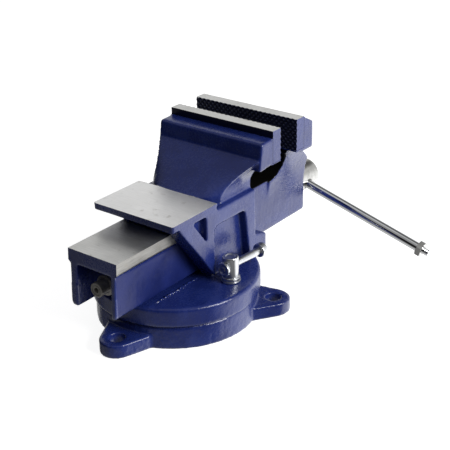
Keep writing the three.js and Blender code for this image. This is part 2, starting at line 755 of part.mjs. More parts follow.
// A hexagon-headed bolt along Z with its head's foot at 0.
function nutBolt() {
  const shankTop = discTopZ + nutBoltReach - discBottomZ - gap;
  const head = alongZ(hexagon(nutBoltHeadFlats), 0, nutBoltHeadHeight);
  return geometryOf(solid(head).add(solid(rod(nutBoltRadius, nutBoltHeadHeight - 0.5, shankTop))));
}

// ---- Swivel lock -------------------------------------------------------------------

// A square-headed bolt along Z with its head's foot at 0.
function lockBolt() {
  const half = lockBoltHead / 2;
  const top = discTopZ + lockBoltRise - baseFloor - gap;
  const head = block(-half, half, -half, half, 0, lockBoltHeadHeight);
  return geometryOf(solid(head).add(solid(rod(lockBoltRadius, lockBoltHeadHeight - 0.5, top))));
}

// The round lock nut about Z: a flange, a cross hole for the bar along Y, a thread from below.
function lockNut() {
  const chamfer = 0.8;
  const nut = turned([
    [0, 0], [lockFlangeRadius, 0], [lockFlangeRadius, lockFlangeHeight - 0.6],
    [lockFlangeRadius - 0.6, lockFlangeHeight], [lockNutRadius, lockFlangeHeight],
    [lockNutRadius, lockNutHeight - chamfer], [lockNutRadius - chamfer, lockNutHeight],
    [0, lockNutHeight],
  ], 32);
  const thread = rod(lockBoltRadius + gap, -1, lockBarRise - lockBarRadius - 1);
  const cross = ontoY(rod(lockBarRadius + boreClearance, -lockNutRadius - 2, lockNutRadius + 2, 20))
    .translate(0, 0, lockBarRise);
  return geometryOf(solid(nut).subtract(solid(thread)).subtract(solid(cross)));
}

// The lock bar along Y, its far end at -Y.
function lockBar() {
  const near = lockNutRadius + gap;
  const inCap = lockBarRadius - 0.8;
  return ontoY(turned([
    [0, -lockBarReach - lockCapFar], [inCap, -lockBarReach - lockCapFar],
    [inCap, -lockBarReach + gap], [lockBarRadius, -lockBarReach + gap],
    [lockBarRadius, near - gap], [inCap, near - gap],
    [inCap, near + lockCapNear], [0, near + lockCapNear],
  ], 20));
}

// A cap of the lock bar about Y, from y0 over its thickness.
function lockCap(y0, thickness) {
  const round = 0.7;
  const inner = lockBarRadius - 0.8 + gap;
  return ontoY(turned([
    [inner, 0], [lockCapRadius - round, 0], [lockCapRadius, round],
    [lockCapRadius, thickness - round], [lockCapRadius - round, thickness],
    [inner, thickness], [inner, 0],
  ], 28)).translate(0, y0, 0);
}

function addLock(side, sideName) {
  const foot = discTopZ + gap;
  const lock = new THREE.Group();
  lock.position.set(side * lockX, lockY, 0);
  vise.add(lock);
  const bolt = add(lock, `lock_bolt_${sideName}`, lockBolt(), darkSteel);
  bolt.position.z = baseFloor + gap;
  bolt.rotation.z = Math.atan2(lockY, side * lockX);
  const washer = add(lock, `lock_washer_${sideName}`,
    ring(lockWasherRadius, lockBoltRadius + gap, lockWasherThickness), zinc);
  washer.position.z = foot;
  const head = new THREE.Group();
  head.position.z = foot + lockWasherThickness + gap;
  head.rotation.z = THREE.MathUtils.degToRad(side * lockBarAngle);
  lock.add(head);
  add(head, `lock_nut_${sideName}`, lockNut(), zinc);
  const bar = new THREE.Group();
  bar.position.z = lockBarRise;
  head.add(bar);
  add(bar, `lock_bar_${sideName}`, lockBar(), zinc);
  add(bar, `lock_cap_rear_${sideName}`, lockCap(lockNutRadius + gap, lockCapNear), zinc);
  add(bar, `lock_cap_front_${sideName}`, lockCap(-lockBarReach - lockCapFar, lockCapFar), zinc);
}

// ---- Assembly ----------------------------------------------------------------------

add(vise, 'swivel_base', swivelBase(), bluePaint);
add(vise, 'vise_body', viseBody(), bluePaint);
add(vise, 'moving_jaw', movingJaw(), bluePaint);
for (const [name, faceY, direction] of [['fixed', jawFaceY, 1], ['moving', movingFaceY, -1]]) {
  add(vise, `${name}_jaw_plate`, jawPlate(faceY, direction), groundSteel);
  for (const [side, sideName] of [[-1, 'left'], [1, 'right']]) {
    add(vise, `${name}_plate_screw_${sideName}`, plateScrew(side, faceY, direction), darkSteel);
  }
}

const spindle = new THREE.Group();
spindle.position.z = screwZ;
spindle.rotation.y = THREE.MathUtils.degToRad(-handleTilt);
vise.add(spindle);
add(spindle, 'lead_screw', leadScrew(), darkSteel);
add(spindle, 'spindle_head', spindleHead(), chrome);
add(spindle, 'spindle_head_pin', rod(headPinRadius, 0.5 - spindleHeadRadius,
  spindleHeadRadius - 0.5, 12).translate(0, spindleBackY - socketDepth / 2, 0), darkSteel);
add(spindle, 'thrust_washer', ontoY(ring(thrustWasherRadius, screwRadius + gap,
  thrustWasherThickness)).translate(0, washerFrontY, 0), zinc);
add(spindle, 'retaining_spring', ontoY(spring()).translate(0, springFrontY, 0), darkSteel);
add(spindle, 'spring_washer', ontoY(ring(springRadius + springWire, screwRadius + gap,
  springWasherThickness)).translate(0, springWasherY, 0), zinc);
add(spindle, 'split_pin', ontoX(rod(splitPinRadius, -splitPinLength / 2, splitPinLength / 2, 12))
  .translate(0, splitPinY, 0), zinc);

const handle = new THREE.Group();
handle.position.y = handleCentreY;
spindle.add(handle);
add(handle, 'handle_bar', handleBar(), chrome);
add(handle, 'handle_nut_far', handleNut(-handleReach - handleNutThickness), chrome);
add(handle, 'handle_nut_near', handleNut(spindleHeadRadius + 0.4), chrome);

add(vise, 'main_nut', mainNut(), castIron);
const nutBoltMesh = add(vise, 'nut_bolt', nutBolt(), darkSteel);
nutBoltMesh.position.set(0, nutY, discBottomZ + gap);
const nutWasher = add(vise, 'nut_bolt_washer', ring(nutBoltWasherRadius, nutBoltRadius + gap,
  nutBoltWasherThickness), zinc);
nutWasher.position.set(0, nutY, discBottomZ + nutBoltHeadHeight + 2 * gap);

addLock(-1, 'left');
addLock(1, 'right');

export default vise;
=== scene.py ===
import logging
import math
from dataclasses import dataclass, field
from enum import Enum
from typing import Any, Callable, Optional, Sequence, Tuple

import bmesh
import bpy
import numpy as np
from mathutils import Matrix, Vector


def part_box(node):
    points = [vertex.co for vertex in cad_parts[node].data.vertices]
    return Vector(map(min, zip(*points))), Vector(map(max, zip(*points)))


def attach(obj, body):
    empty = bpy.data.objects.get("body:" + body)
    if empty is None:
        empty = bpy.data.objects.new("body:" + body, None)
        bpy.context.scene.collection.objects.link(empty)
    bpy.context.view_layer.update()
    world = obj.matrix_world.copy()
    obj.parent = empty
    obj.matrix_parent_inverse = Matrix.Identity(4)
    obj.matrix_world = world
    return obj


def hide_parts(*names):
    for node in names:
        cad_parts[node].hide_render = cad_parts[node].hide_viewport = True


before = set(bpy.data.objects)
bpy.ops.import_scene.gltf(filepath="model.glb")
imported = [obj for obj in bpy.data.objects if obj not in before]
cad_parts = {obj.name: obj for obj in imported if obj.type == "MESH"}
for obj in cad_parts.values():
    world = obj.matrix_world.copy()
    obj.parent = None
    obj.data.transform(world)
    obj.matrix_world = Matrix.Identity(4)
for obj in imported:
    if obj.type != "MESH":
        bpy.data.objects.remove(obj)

log = logging.getLogger("bench_vise")
logging.basicConfig(level=logging.INFO, format="%(name)s: %(message)s")

Array = np.ndarray
Colour = Tuple[float, float, float]
MM = 0.001
TAU = 2 * math.pi


# ---- Shader maths ------------------------------------------------------------------------


class Value:
    """A number socket of a shader that Python operators combine into Math nodes."""

    def __init__(self, tree: "Shader", socket: Any) -> None:
        """Keeps the socket and the shader that it belongs to."""
        self.tree, self.socket = tree, socket

    def _math(self, operation: str, *others: Any) -> "Value":
        """Adds a Math node of this value and the others.

        Args:
            operation: the Math node's operation.
            others: further values or plain numbers.
        Returns:
            The node's result.
        """
        inputs = {i: v for i, v in enumerate((self, *others))}
        return self.tree.value("ShaderNodeMath", {"operation": operation}, inputs)

    def __add__(self, other: Any) -> "Value":
        """Sum."""
        return self._math("ADD", other)

    __radd__ = __add__

    def __mul__(self, other: Any) -> "Value":
        """Product."""
        return self._math("MULTIPLY", other)

    __rmul__ = __mul__

    def __sub__(self, other: Any) -> "Value":
        """Difference."""
        return self._math("SUBTRACT", other)

    def __rsub__(self, other: Any) -> "Value":
        """Difference from a plain number."""
        return (self * -1.0) + other

    def __abs__(self) -> "Value":
        """Size without its sign."""
        return self._math("ABSOLUTE")

    def above(self, low: float, high: float) -> "Value":
        """0 under low and 1 over high, smooth between them.

        Args:
            low: where the step starts.
            high: where the step ends.
        Returns:
            The smooth step.
        """
        inputs = {"Value": self, "From Min": low, "From Max": high}
        settings = {"interpolation_type": "SMOOTHSTEP"}
        return self.tree.value("ShaderNodeMapRange", settings, inputs, "Result")


class Shader:
    """Builds the node tree of one material or of the world."""

    def __init__(self, tree: bpy.types.NodeTree) -> None:
        """Empties the tree and keeps its nodes and links."""
        self.nodes, self.links = tree.nodes, tree.links
        self.nodes.clear()

    def node(self, kind: str, settings: Optional[dict] = None,
             inputs: Optional[dict] = None) -> Any:
        """Adds a node.

        Args:
            kind: the node's type.
            settings: attributes, set before the sockets.
            inputs: values, sockets or Values by socket name or index.
        Returns:
            The node.
        """
        made = self.nodes.new(kind)
        for name, setting in (settings or {}).items():
            setattr(made, name, setting)
        for name, given in (inputs or {}).items():
            source = given.socket if isinstance(given, Value) else given
            if isinstance(source, bpy.types.NodeSocket):
                self.links.new(source, made.inputs[name])
            else:
                made.inputs[name].default_value = source
        return made

    def value(self, kind: str, settings: Optional[dict] = None, inputs: Optional[dict] = None,
              output: Any = 0) -> Value:
        """Adds a node and wraps one of its outputs as a Value."""
        return Value(self, self.node(kind, settings, inputs).outputs[output])

    def place(self, scale: Sequence[float] = (1, 1, 1)) -> Any:
        """Object coordinates, stretched by a Mapping node."""
        where = self.node("ShaderNodeTexCoord").outputs["Object"]
        return self.node("ShaderNodeMapping", {}, {"Vector": where, "Scale": scale}).outputs[0]

    def noise(self, scale: float, detail: float = 3.0,
              stretch: Sequence[float] = (1, 1, 1)) -> Value:
        """Fractal noise over the piece.

        Args:
            scale: features per metre.
            detail: octaves.
            stretch: extra scale along each axis.
        Returns:
            The noise, from 0 to 1.
        """
        inputs = {"Vector": self.place(stretch), "Scale": scale, "Detail": detail}
        return self.value("ShaderNodeTexNoise", {}, inputs, "Fac")

    def mix(self, factor: Any, first: Any, second: Any) -> Any:
        """Mixes two colours.

        Args:
            factor: 0 for the first, 1 for the second.
            first: a colour or a colour socket.
            second: a colour or a colour socket.
        Returns:
            The mixed colour's socket.
        """
        fill = [c if isinstance(c, bpy.types.NodeSocket) else (*c, 1.0) for c in (first, second)]
        inputs = {0: factor, 6: fill[0], 7: fill[1]}
        return self.node("ShaderNodeMix", {"data_type": "RGBA"}, inputs).outputs[2]

    def bump(self, height: Value, distance: float, strength: float = 1.0) -> Any:
        """A Bump node's normal for a height that runs from 0 to 1 over the distance in metres."""
        inputs = {"Height": height, "Distance": distance, "Strength": strength}
        return self.node("ShaderNodeBump", {}, inputs).outputs["Normal"]

    def edge(self) -> Value:
        """How sharply the surface turns outward, about 0.5 where it is flat."""
        return self.value("ShaderNodeNewGeometry", {}, {}, "Pointiness")


# ---- Finishes ----------------------------------------------------------------------------


@dataclass(frozen=True)
class Finish:
    """A material made of one Principled shader.

    Attributes:
        name: the material's name.
        slot: the record's material slot.
    """

    name: str = "finish"
    slot: str = "dark_steel"

    def dress(self, shader: Shader) -> dict:
        """The Principled shader's socket values for this finish."""
        raise NotImplementedError

    def material(self) -> bpy.types.Material:
        """The finish's material, made on its first use.

        Returns:
            The material.
        """
        found = bpy.data.materials.get(self.name)
        if found is not None:
            return found
        made = bpy.data.materials.new(self.name)
        made.use_nodes = True
        shader = Shader(made.node_tree)
        surface = shader.node("ShaderNodeBsdfPrincipled", {}, self.dress(shader))
        shader.node("ShaderNodeOutputMaterial", {}, {"Surface": surface.outputs[0]})
        return made


@dataclass(frozen=True)
class Enamel(Finish):
    """Blue enamel sprayed over sand-cast iron."""

    name: str = "blue_enamel"
    slot: str = "blue_casting"
    deep: Colour = (0.0095, 0.0190, 0.1250)
    light: Colour = (0.0165, 0.0310, 0.1700)
    # Pale blue for the edges: partly wear, partly a painted edge highlight.
    worn_and_highlight: Colour = (0.0750, 0.0950, 0.2600)
    roughness: float = 0.27
    grain: float = 1.0
    gloss: float = 0.55

    def dress(self, shader: Shader) -> dict:
        """Clouded blue, paler on edges for wear and as a painted highlight, with orange peel over
        the cast grain.

        Args:
            shader: the tree that the nodes go into.
        Returns:
            Values and links by socket name.
        """
        cloud = shader.noise(38.0, 4.0)
        fleck = shader.noise(620.0, 2.0)
        colour = shader.mix(cloud.above(0.32, 0.70), self.deep, self.light)
        # Edges that pointiness picks out, broken up by flecks, turn pale: partly wear, partly a
        # painted highlight.
        rubbed = shader.edge().above(0.56, 0.68) * fleck.above(0.35, 0.75)
        colour = shader.mix(rubbed * 0.45, colour, self.worn_and_highlight)
        peel = shader.noise(260.0, 2.0)
        sand = shader.noise(1100.0, 3.0)
        height = peel * 0.62 + sand * 0.07 + cloud * 0.9
        rough = cloud * 0.12 + fleck * 0.10 + (self.roughness - 0.11)
        return {
            "Base Color": colour, "Roughness": rough, "IOR": 1.5,
            "Specular IOR Level": self.gloss,
            "Normal": shader.bump(height, 0.00042 * self.grain, 0.85),
        }


@dataclass(frozen=True)
class GroundSteel(Finish):
    """Metal that has been surface-ground, with fine lines along one direction."""

    name: str = "ground_steel"
    slot: str = "jaw_steel"
    bright: Colour = (0.74, 0.74, 0.725)
    dull: Colour = (0.58, 0.58, 0.565)
    roughness: float = 0.42
    lines: Tuple[float, float, float] = (3.0, 70.0, 70.0)

    def dress(self, shader: Shader) -> dict:
        """Grey metal whose colour, gloss and height follow the grinding lines.

        Args:
            shader: the tree that the nodes go into.
        Returns:
            Values and links by socket name.
        """
        line = shader.noise(24.0, 4.0, self.lines)
        cloud = shader.noise(55.0, 3.0)
        colour = shader.mix((line * 0.7 + cloud * 0.5).above(0.35, 0.85), self.dull, self.bright)
        stain = shader.noise(150.0, 5.0).above(0.60, 0.74)
        colour = shader.mix(stain * 0.28, colour, (0.30, 0.27, 0.22))
        rough = line * 0.14 + stain * 0.10 + (self.roughness - 0.09)
        return {
            "Base Color": colour, "Metallic": 0.92, "Roughness": rough,
            "Normal": shader.bump(line, 0.00010, 0.55),
        }


@dataclass(frozen=True)
class BlackSteel(Finish):
    """Oil-blackened steel with rubbed high spots."""

    name: str = "black_steel"
    slot: str = "dark_steel"
    dark: Colour = (0.030, 0.030, 0.031)
    rubbed: Colour = (0.155, 0.150, 0.142)
    roughness: float = 0.40
    metal: float = 0.85

    def dress(self, shader: Shader) -> dict:
        """Near black, with grey where edges rub and faint brown stains.

        Args:
            shader: the tree that the nodes go into.
        Returns:
            Values and links by socket name.
        """
        cloud = shader.noise(120.0, 4.0)
        fine = shader.noise(900.0, 3.0)
        rub = shader.edge().above(0.52, 0.62) * 0.7 + cloud.above(0.55, 0.80) * 0.35
        colour = shader.mix(rub, self.dark, self.rubbed)
        colour = shader.mix(fine.above(0.62, 0.78) * 0.25, colour, (0.10, 0.060, 0.035))
        return {
            "Base Color": colour, "Metallic": self.metal,
            "Roughness": cloud * 0.16 + fine * 0.08 + (self.roughness - 0.12),
            "Normal": shader.bump(fine, 0.00006, 0.6),
        }


@dataclass(frozen=True)
class Plated(Finish):
    """Bright plating over turned steel."""

    name: str = "zinc_plate"
    slot: str = "zinc_steel"
    bright: Colour = (0.62, 0.63, 0.64)
    hazed: Colour = (0.44, 0.45, 0.47)
    roughness: float = 0.30
    haze: float = 0.14
    relief: float = 0.00003

    def dress(self, shader: Shader) -> dict:
        """Mirror-like metal with a soft haze and a faint grain.

        Args:
            shader: the tree that the nodes go into.
        Returns:
            Values and links by socket name.
        """
        cloud = shader.noise(90.0, 4.0)
        fine = shader.noise(700.0, 2.0)
        colour = shader.mix(cloud.above(0.40, 0.72), self.bright, self.hazed)
        return {
            "Base Color": colour, "Metallic": 1.0,
            "Roughness": cloud * self.haze + fine * 0.04 + (self.roughness - self.haze * 0.5),
            "Normal": shader.bump(fine, self.relief, 0.5),
        }


@dataclass(frozen=True)
class Serrated(Finish):
    """The blued, serrated face of a jaw plate, with a glint painted on the tooth tips."""

    name: str = "serrated_steel"
    slot: str = "jaw_steel"
    dark: Colour = (0.007, 0.009, 0.034)
    tip_glint: Colour = (0.34, 0.38, 0.62)
    roughness: float = 0.30

    def dress(self, shader: Shader) -> dict:
        """Blue-black steel, with a painted glint where the teeth come to a point.

        Args:
            shader: the tree that the nodes go into.
        Returns:
            Values and links by socket name.
        """
        fine = shader.noise(800.0, 3.0)
        # Painted glint: tooth tips that pointiness picks out get the pale colour.
        tip = shader.edge().above(0.515, 0.60)
        colour = shader.mix(tip * 0.8, self.dark, self.tip_glint)
        return {
            "Base Color": colour, "Metallic": 0.35,
            "Roughness": fine * 0.14 + (self.roughness - 0.07),
            "Normal": shader.bump(fine, 0.00005, 0.5),
        }


ENAMEL = Enamel()
BASE_ENAMEL = Enamel(name="base_enamel", grain=1.7)
BEAD = Enamel(name="enamel_bead", roughness=0.14, grain=0.3, gloss=1.0)
# A darker, duller copy of the enamel: painted shade on the slide's side legs.
SHADED_SLIDE_ENAMEL = Enamel(name="slide_enamel_painted_shade", deep=(0.0065, 0.0125, 0.0850),
                      light=(0.0110, 0.0200, 0.1250), roughness=0.34, gloss=0.22)
GROUND = GroundSteel()
# A brighter copy of the ground steel: painted light on the anvil's top.
LIT_GROUND_ANVIL = GroundSteel(name="ground_anvil_painted_light", bright=(0.97, 0.97, 0.965),
                           dull=(0.84, 0.84, 0.835))
# A much darker copy of the ground steel: painted shade on the slide's side bands.
SHADED_GROUND_BAND = GroundSteel(name="ground_band_painted_shade", bright=(0.31, 0.305, 0.29),
                          dull=(0.15, 0.147, 0.14), roughness=0.36, lines=(70.0, 3.0, 70.0))
BLACK = BlackSteel()
# Near black: painted shade in the moving jaw's throat, a recess under the fixed jaw's head.
THROAT_SHADE = BlackSteel(name="throat_painted_shade", slot="blue_casting", dark=(0.010, 0.010, 0.008),
                    rubbed=(0.045, 0.045, 0.038), roughness=0.50)
WORN = BlackSteel(name="worn_steel", dark=(0.20, 0.19, 0.175), rubbed=(0.60, 0.57, 0.52),
                  roughness=0.36, metal=0.30)
IRON = BlackSteel(name="raw_iron", slot="nut_iron", dark=(0.065, 0.065, 0.066),
                  rubbed=(0.20, 0.195, 0.19), roughness=0.55)
ZINC = Plated()
# A darker copy of the chrome: painted shade on the spindle head and the handle nuts.
SHADED_CHROME = Plated(name="chrome_painted_shade", slot="chrome", bright=(0.44, 0.44, 0.43),
              hazed=(0.28, 0.28, 0.27), roughness=0.13, haze=0.08)
CHROME = Plated(name="bright_chrome", slot="chrome", bright=(0.80, 0.81, 0.82),
                hazed=(0.72, 0.73, 0.75), roughness=0.075, haze=0.05, relief=0.00001)
TEETH = Serrated()
# Near black with no tip glint: painted shade on the jaw plates' backs.
PLATE_BACK_SHADE = Serrated(name="plate_back_painted_shade", dark=(0.005, 0.006, 0.022), tip_glint=(0.007, 0.009, 0.030))


# ---- Mesh helpers ------------------------------------------------------------------------


def finished(name: str, mesh: bpy.types.Mesh, body: str, finishes: Sequence[Finish],
             nodes: Sequence[str], sharp: float = 38.0) -> bpy.types.Object:
    """Puts a mesh into the scene as one piece.

    Args:
        name: the piece's name.
        mesh: its mesh, in metres.
        body: the body that it rides on.
        finishes: its materials, in the order of the faces' indices.
        nodes: the nodes that it stands for.
        sharp: edges sharper than this, in degrees, stay sharp.
    Returns:
        The piece.
    """
    for finish in finishes:
        mesh.materials.append(finish.material())
    mesh.polygons.foreach_set("use_smooth", np.ones(len(mesh.polygons), bool))
    mesh.set_sharp_from_angle(angle=math.radians(sharp))
    mesh.update()
    piece = bpy.data.objects.new(name, mesh)
    bpy.context.scene.collection.objects.link(piece)
    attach(piece, body)
    if nodes:
        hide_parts(*nodes)
    log.info("%s: %d faces on %s", name, len(mesh.polygons), body)
    return piece


def grid_mesh(name: str, points: Array, around: bool = True, lids: bool = False) -> bpy.types.Mesh:
    """A mesh through a grid of points.

    The face at row i and column j joins points (i, j), (i, j+1), (i+1, j+1) and (i+1, j).
    Columns close on themselves where the surface goes around, and rows that shrink to one
    point become a pole when doubles are merged.

    Args:
        name: the mesh's name.
        points: rows by columns by three, in millimetres.
        around: whether the last column joins the first.
        lids: whether the first and last rows are closed by flat faces.
    Returns:
        The mesh, in metres, with its faces outward.
    """
    rows, columns = points.shape[:2]
    i, j = np.meshgrid(np.arange(rows - 1), np.arange(columns if around else columns - 1),
                       indexing="ij")
    k = (j + 1) % columns
    faces = np.stack([i * columns + j, i * columns + k, (i + 1) * columns + k,
                      (i + 1) * columns + j], -1).reshape(-1, 4).tolist()
    if lids:
        faces.append(list(range(columns))[::-1])
        faces.append([(rows - 1) * columns + c for c in range(columns)])
    mesh = bpy.data.meshes.new(name)
    mesh.from_pydata((points.reshape(-1, 3) * MM).tolist(), [], faces)
    tidy_mesh(mesh)
    return mesh


def read(items: Any, attribute: str, width: int = 3) -> Array:
    """Reads an attribute of a mesh's points, edges or faces as rows.

    Args:
        items: the mesh's vertices, edges or polygons.
        attribute: the attribute's name.
        width: numbers in each row.
    Returns:
        One row for each item.
    """
    flat = np.empty(len(items) * width, np.int32 if attribute == "vertices" else np.float32)
    items.foreach_get(attribute, flat)
    return flat.reshape(-1, width)


def positions(mesh: bpy.types.Mesh) -> Array:
    """The mesh's points, in millimetres."""
    return read(mesh.vertices, "co").astype(float) / MM


def place(mesh: bpy.types.Mesh, points: Array) -> None:
    """Moves the mesh's points to new positions, given in millimetres."""
    mesh.vertices.foreach_set("co", (points * MM).astype(np.float32).ravel())
    mesh.update()


def tidy_mesh(mesh: bpy.types.Mesh, reach: float = 2e-6) -> None:
    """Merges doubles and turns the faces outward.

    Args:
        mesh: the mesh that is changed.
        reach: distance in metres under which points merge.
    """
    work = bmesh.new()
    work.from_mesh(mesh)
    bmesh.ops.remove_doubles(work, verts=work.verts, dist=reach)
    bmesh.ops.recalc_face_normals(work, faces=work.faces)
    work.to_mesh(mesh)
    work.free()
    mesh.update()


def rounded(points: Sequence[Tuple[float, ...]], steps: int = 5) -> Array:
    """A profile with its corners turned into arcs.

    Each corner's arc starts and ends at radius / tan(half the corner's angle) from the corner
    and is drawn as a quadratic curve that bends towards it.

    Args:
        points: (radius, height) or (radius, height, fillet) corners.
        steps: pieces of each arc.
    Returns:
        The profile's points, rows of (radius, height).
    """
    made = []
    corners = [np.array(p[:2], float) for p in points]
    for index, given in enumerate(points):
        fillet = given[2] if len(given) > 2 else 0.0
        here = corners[index]
        if fillet == 0.0 or index in (0, len(points) - 1):
            made.append(here[None])
            continue
        before, after = corners[index - 1] - here, corners[index + 1] - here
        before, after = before / np.linalg.norm(before), after / np.linalg.norm(after)
        half = 0.5 * math.acos(float(np.clip(before @ after, -0.999, 0.999)))
        reach = fillet / math.tan(half)
        t = np.linspace(0, 1, steps + 1)[:, None]
        bend = (1 - t) ** 2 * (here + before * reach) + 2 * t * (1 - t) * here
        made.append(bend + t ** 2 * (here + after * reach))
    return np.concatenate(made)


@dataclass
class Axes:
    """A piece's own frame: its origin and where its X, Y and Z run, in millimetres."""

    origin: Tuple[float, float, float] = (0.0, 0.0, 0.0)
    x: Tuple[float, float, float] = (1.0, 0.0, 0.0)
    y: Tuple[float, float, float] = (0.0, 1.0, 0.0)
    z: Tuple[float, float, float] = (0.0, 0.0, 1.0)

    def put(self, points: Array) -> Array:
        """Carries points from the piece's frame to the vise's frame."""
        return points @ np.array([self.x, self.y, self.z], float) + np.array(self.origin, float)

    def along(self, which: str, origin: Tuple[float, float, float] = (0.0, 0.0, 0.0)) -> "Axes":
        """Axes whose Z runs along this frame's own X, Y or Z.

        Args:
            which: "x", "y" or "z".
            origin: the new origin, in this frame.
        Returns:
            The new axes.
        """
        start = tuple(self.put(np.array([origin], float))[0])
        order = {"z": (self.x, self.y, self.z), "x": (self.y, self.z, self.x),
                 "y": (self.z, self.x, self.y)}[which]
        return Axes(start, *order)


def turned(name: str, profile: Array, axes: Axes, segments: int = 72) -> bpy.types.Mesh:
    """A profile turned about the axes' Z.

    Point (angle, s) is (radius(s) cos angle, radius(s) sin angle, height(s)).

    Args:
        name: the mesh's name.
        profile: rows of (radius, height).
        axes: where it goes.
        segments: columns around.
    Returns:
        The mesh.
    """
    angle = np.linspace(0, TAU, segments, endpoint=False)
    radius, height = profile[:, :1], profile[:, 1:]
    points = np.stack([radius * np.cos(angle), radius * np.sin(angle),
                       height + 0 * angle], -1)
    return grid_mesh(name, axes.put(points))


def threaded(name: str, profile: Array, axes: Axes, pitch: float, depth: float,
             span: Tuple[float, float], segments: int = 48) -> bpy.types.Mesh:
    """A turned profile with a single-start thread cut into part of it.

    The radius at (angle, height) is the profile's radius less depth times a rounded square
    wave of height / pitch - angle / turn, faded to nothing at both ends of the span.

    Args:
        name: the mesh's name.
        profile: rows of (radius, height), close together inside the span.
        axes: where it goes.
        pitch: advance per turn.
        depth: depth of the thread.
        span: heights between which the thread runs.
        segments: columns around.
    Returns:
        The mesh.
    """
    angle = np.linspace(0, TAU, segments, endpoint=False)
    radius, height = profile[:, :1], profile[:, 1:] + 0 * angle
    wave = np.sin((height / pitch - angle / TAU) * TAU)
    groove = 0.5 + 0.5 * np.tanh(3.2 * wave)
    fade = np.clip((height - span[0]) / pitch, 0, 1) * np.clip((span[1] - height) / pitch, 0, 1)
    cut = radius - depth * groove * fade
    points = np.stack([cut * np.cos(angle), cut * np.sin(angle), height], -1)
    return grid_mesh(name, axes.put(points))


def tube(name: str, centre: Callable[[Array], Array], radius: float, axes: Axes,
         steps: int, sides: int = 12) -> bpy.types.Mesh:
    """A round wire along a curve.

    Point (t, angle) is centre(t) + radius (cos angle N + sin angle B), where N and B are
    square to the curve's direction.

    Args:
        name: the mesh's name.
        centre: the curve, from values of t in 0..1 to rows of points.
        radius: the wire's radius.
        axes: where it goes.
        steps: rows along the curve.
        sides: columns around the wire.
    Returns:
        The closed mesh.
    """
    t = np.linspace(0, 1, steps + 1)
    spine = centre(t)
    along = np.gradient(spine, axis=0)
    along /= np.linalg.norm(along, axis=1, keepdims=True)
    normal = np.cross(along, [0.0, 0.0, 1.0])
    normal /= np.linalg.norm(normal, axis=1, keepdims=True)
    binormal = np.cross(along, normal)
    angle = np.linspace(0, TAU, sides, endpoint=False)
    points = spine[:, None] + radius * (np.cos(angle)[None, :, None] * normal[:, None]
                                        + np.sin(angle)[None, :, None] * binormal[:, None])
    return grid_mesh(name, axes.put(points), lids=True)


def hexagon_nut(name: str, flats: float, thickness: float, bore: float,
                axes: Axes) -> bpy.types.Mesh:
    """A hexagon nut with turned-off corners.

    The outer radius at (angle, height) is the lesser of the hexagon's, flats / 2 / cos(angle
    from the middle of the nearest flat), and a cone that falls away towards both faces.

    Args:
        name: the mesh's name.
        flats: width across the flats.
        thickness: height of the nut.
        bore: radius of the hole.
        axes: where it goes, its foot at 0.
    Returns:
        The mesh.
    """
    angle = np.linspace(0, TAU, 96, endpoint=False)
    off = np.abs((angle + TAU / 12) % (TAU / 6) - TAU / 12)
    hexagon = flats / 2 / np.cos(off)
    height = np.concatenate([[0.0], np.linspace(0.02, 1.6, 7),
                             np.linspace(thickness - 1.6, thickness - 0.02, 7), [thickness]])
    near = np.minimum(height, thickness - height)
    cone = flats / 2 - 0.25 + 1.9 * np.sqrt(np.clip(near, 0, None) / 1.6)
    outer = np.minimum(hexagon[None], cone[:, None])
    rows = np.stack([outer * np.cos(angle), outer * np.sin(angle),
                     height[:, None] + 0 * angle], -1)
    ring = np.stack([np.cos(angle), np.sin(angle), 0 * angle], -1)
    lip, hole = (bore + 0.45) * ring, bore * ring
    lift = np.array([0.0, 0.0, 1.0])
    inner = np.stack([lip, hole + 0.45 * lift, hole + (thickness - 0.45) * lift,
                      lip + thickness * lift])
    points = np.concatenate([rows, inner[::-1], rows[:1]])
    return grid_mesh(name, axes.put(points))


def applied(mesh: bpy.types.Mesh, change: Callable[[bpy.types.Object], None]) -> bpy.types.Mesh:
    """The mesh after the modifiers that change() adds to an object of it.

    Args:
        mesh: the mesh to start from.
        change: adds modifiers to the object that it is given.
    Returns:
        A new mesh.
    """
    work = bpy.data.objects.new("work", mesh)
    bpy.context.scene.collection.objects.link(work)
    change(work)
    made = bpy.data.meshes.new_from_object(
        work.evaluated_get(bpy.context.evaluated_depsgraph_get()))
    bpy.data.objects.remove(work)
    return made


def drilled(mesh: bpy.types.Mesh, *cutters: bpy.types.Mesh) -> bpy.types.Mesh:
    """The mesh with other closed meshes cut out of it.

    Args:
        mesh: the mesh to cut.
        cutters: closed meshes of what is taken away.
    Returns:
        A new mesh.
    """
    tools = []
    for cutter in cutters:
        tool = bpy.data.objects.new("tool", cutter)
        bpy.context.scene.collection.objects.link(tool)
        tools.append(tool)

    def cut(work: bpy.types.Object) -> None:
        """Adds one Boolean for each tool.

        Args:
            work: the object that gets them.
        """
        for tool in tools:
            boolean = work.modifiers.new("cut", "BOOLEAN")
            boolean.operation, boolean.solver, boolean.object = "DIFFERENCE", "EXACT", tool

    made = applied(mesh, cut)
    for tool in tools:
        bpy.data.objects.remove(tool)
    return made


def ripple(points: Array, length: float, seed: int) -> Array:
    """Slow waves over the surface, from -1 to 1.

    The sum of seven sines of position, each along its own direction with a wavelength
    between half and twice the given length.

    Args:
        points: rows of positions, in millimetres.
        length: the middle wavelength.
        seed: picks the directions.
    Returns:
        One height for each row.
    """
    rng = np.random.default_rng(seed)
    ways = rng.normal(size=(7, 3))
    ways /= np.linalg.norm(ways, axis=1, keepdims=True)
    waves = TAU / (length * 2 ** rng.uniform(-1, 1, 7))
    phase = rng.uniform(0, TAU, 7)
    return np.sin(points @ (ways * waves[:, None]).T + phase).mean(axis=1)


# ---- Castings ----------------------------------------------------------------------------


class Facing(Enum):
    """The way that a zone's faces look."""

    UP = "along +Z"
    SIDE = "along X, either way"
    LENGTHWISE = "anywhere but along X"


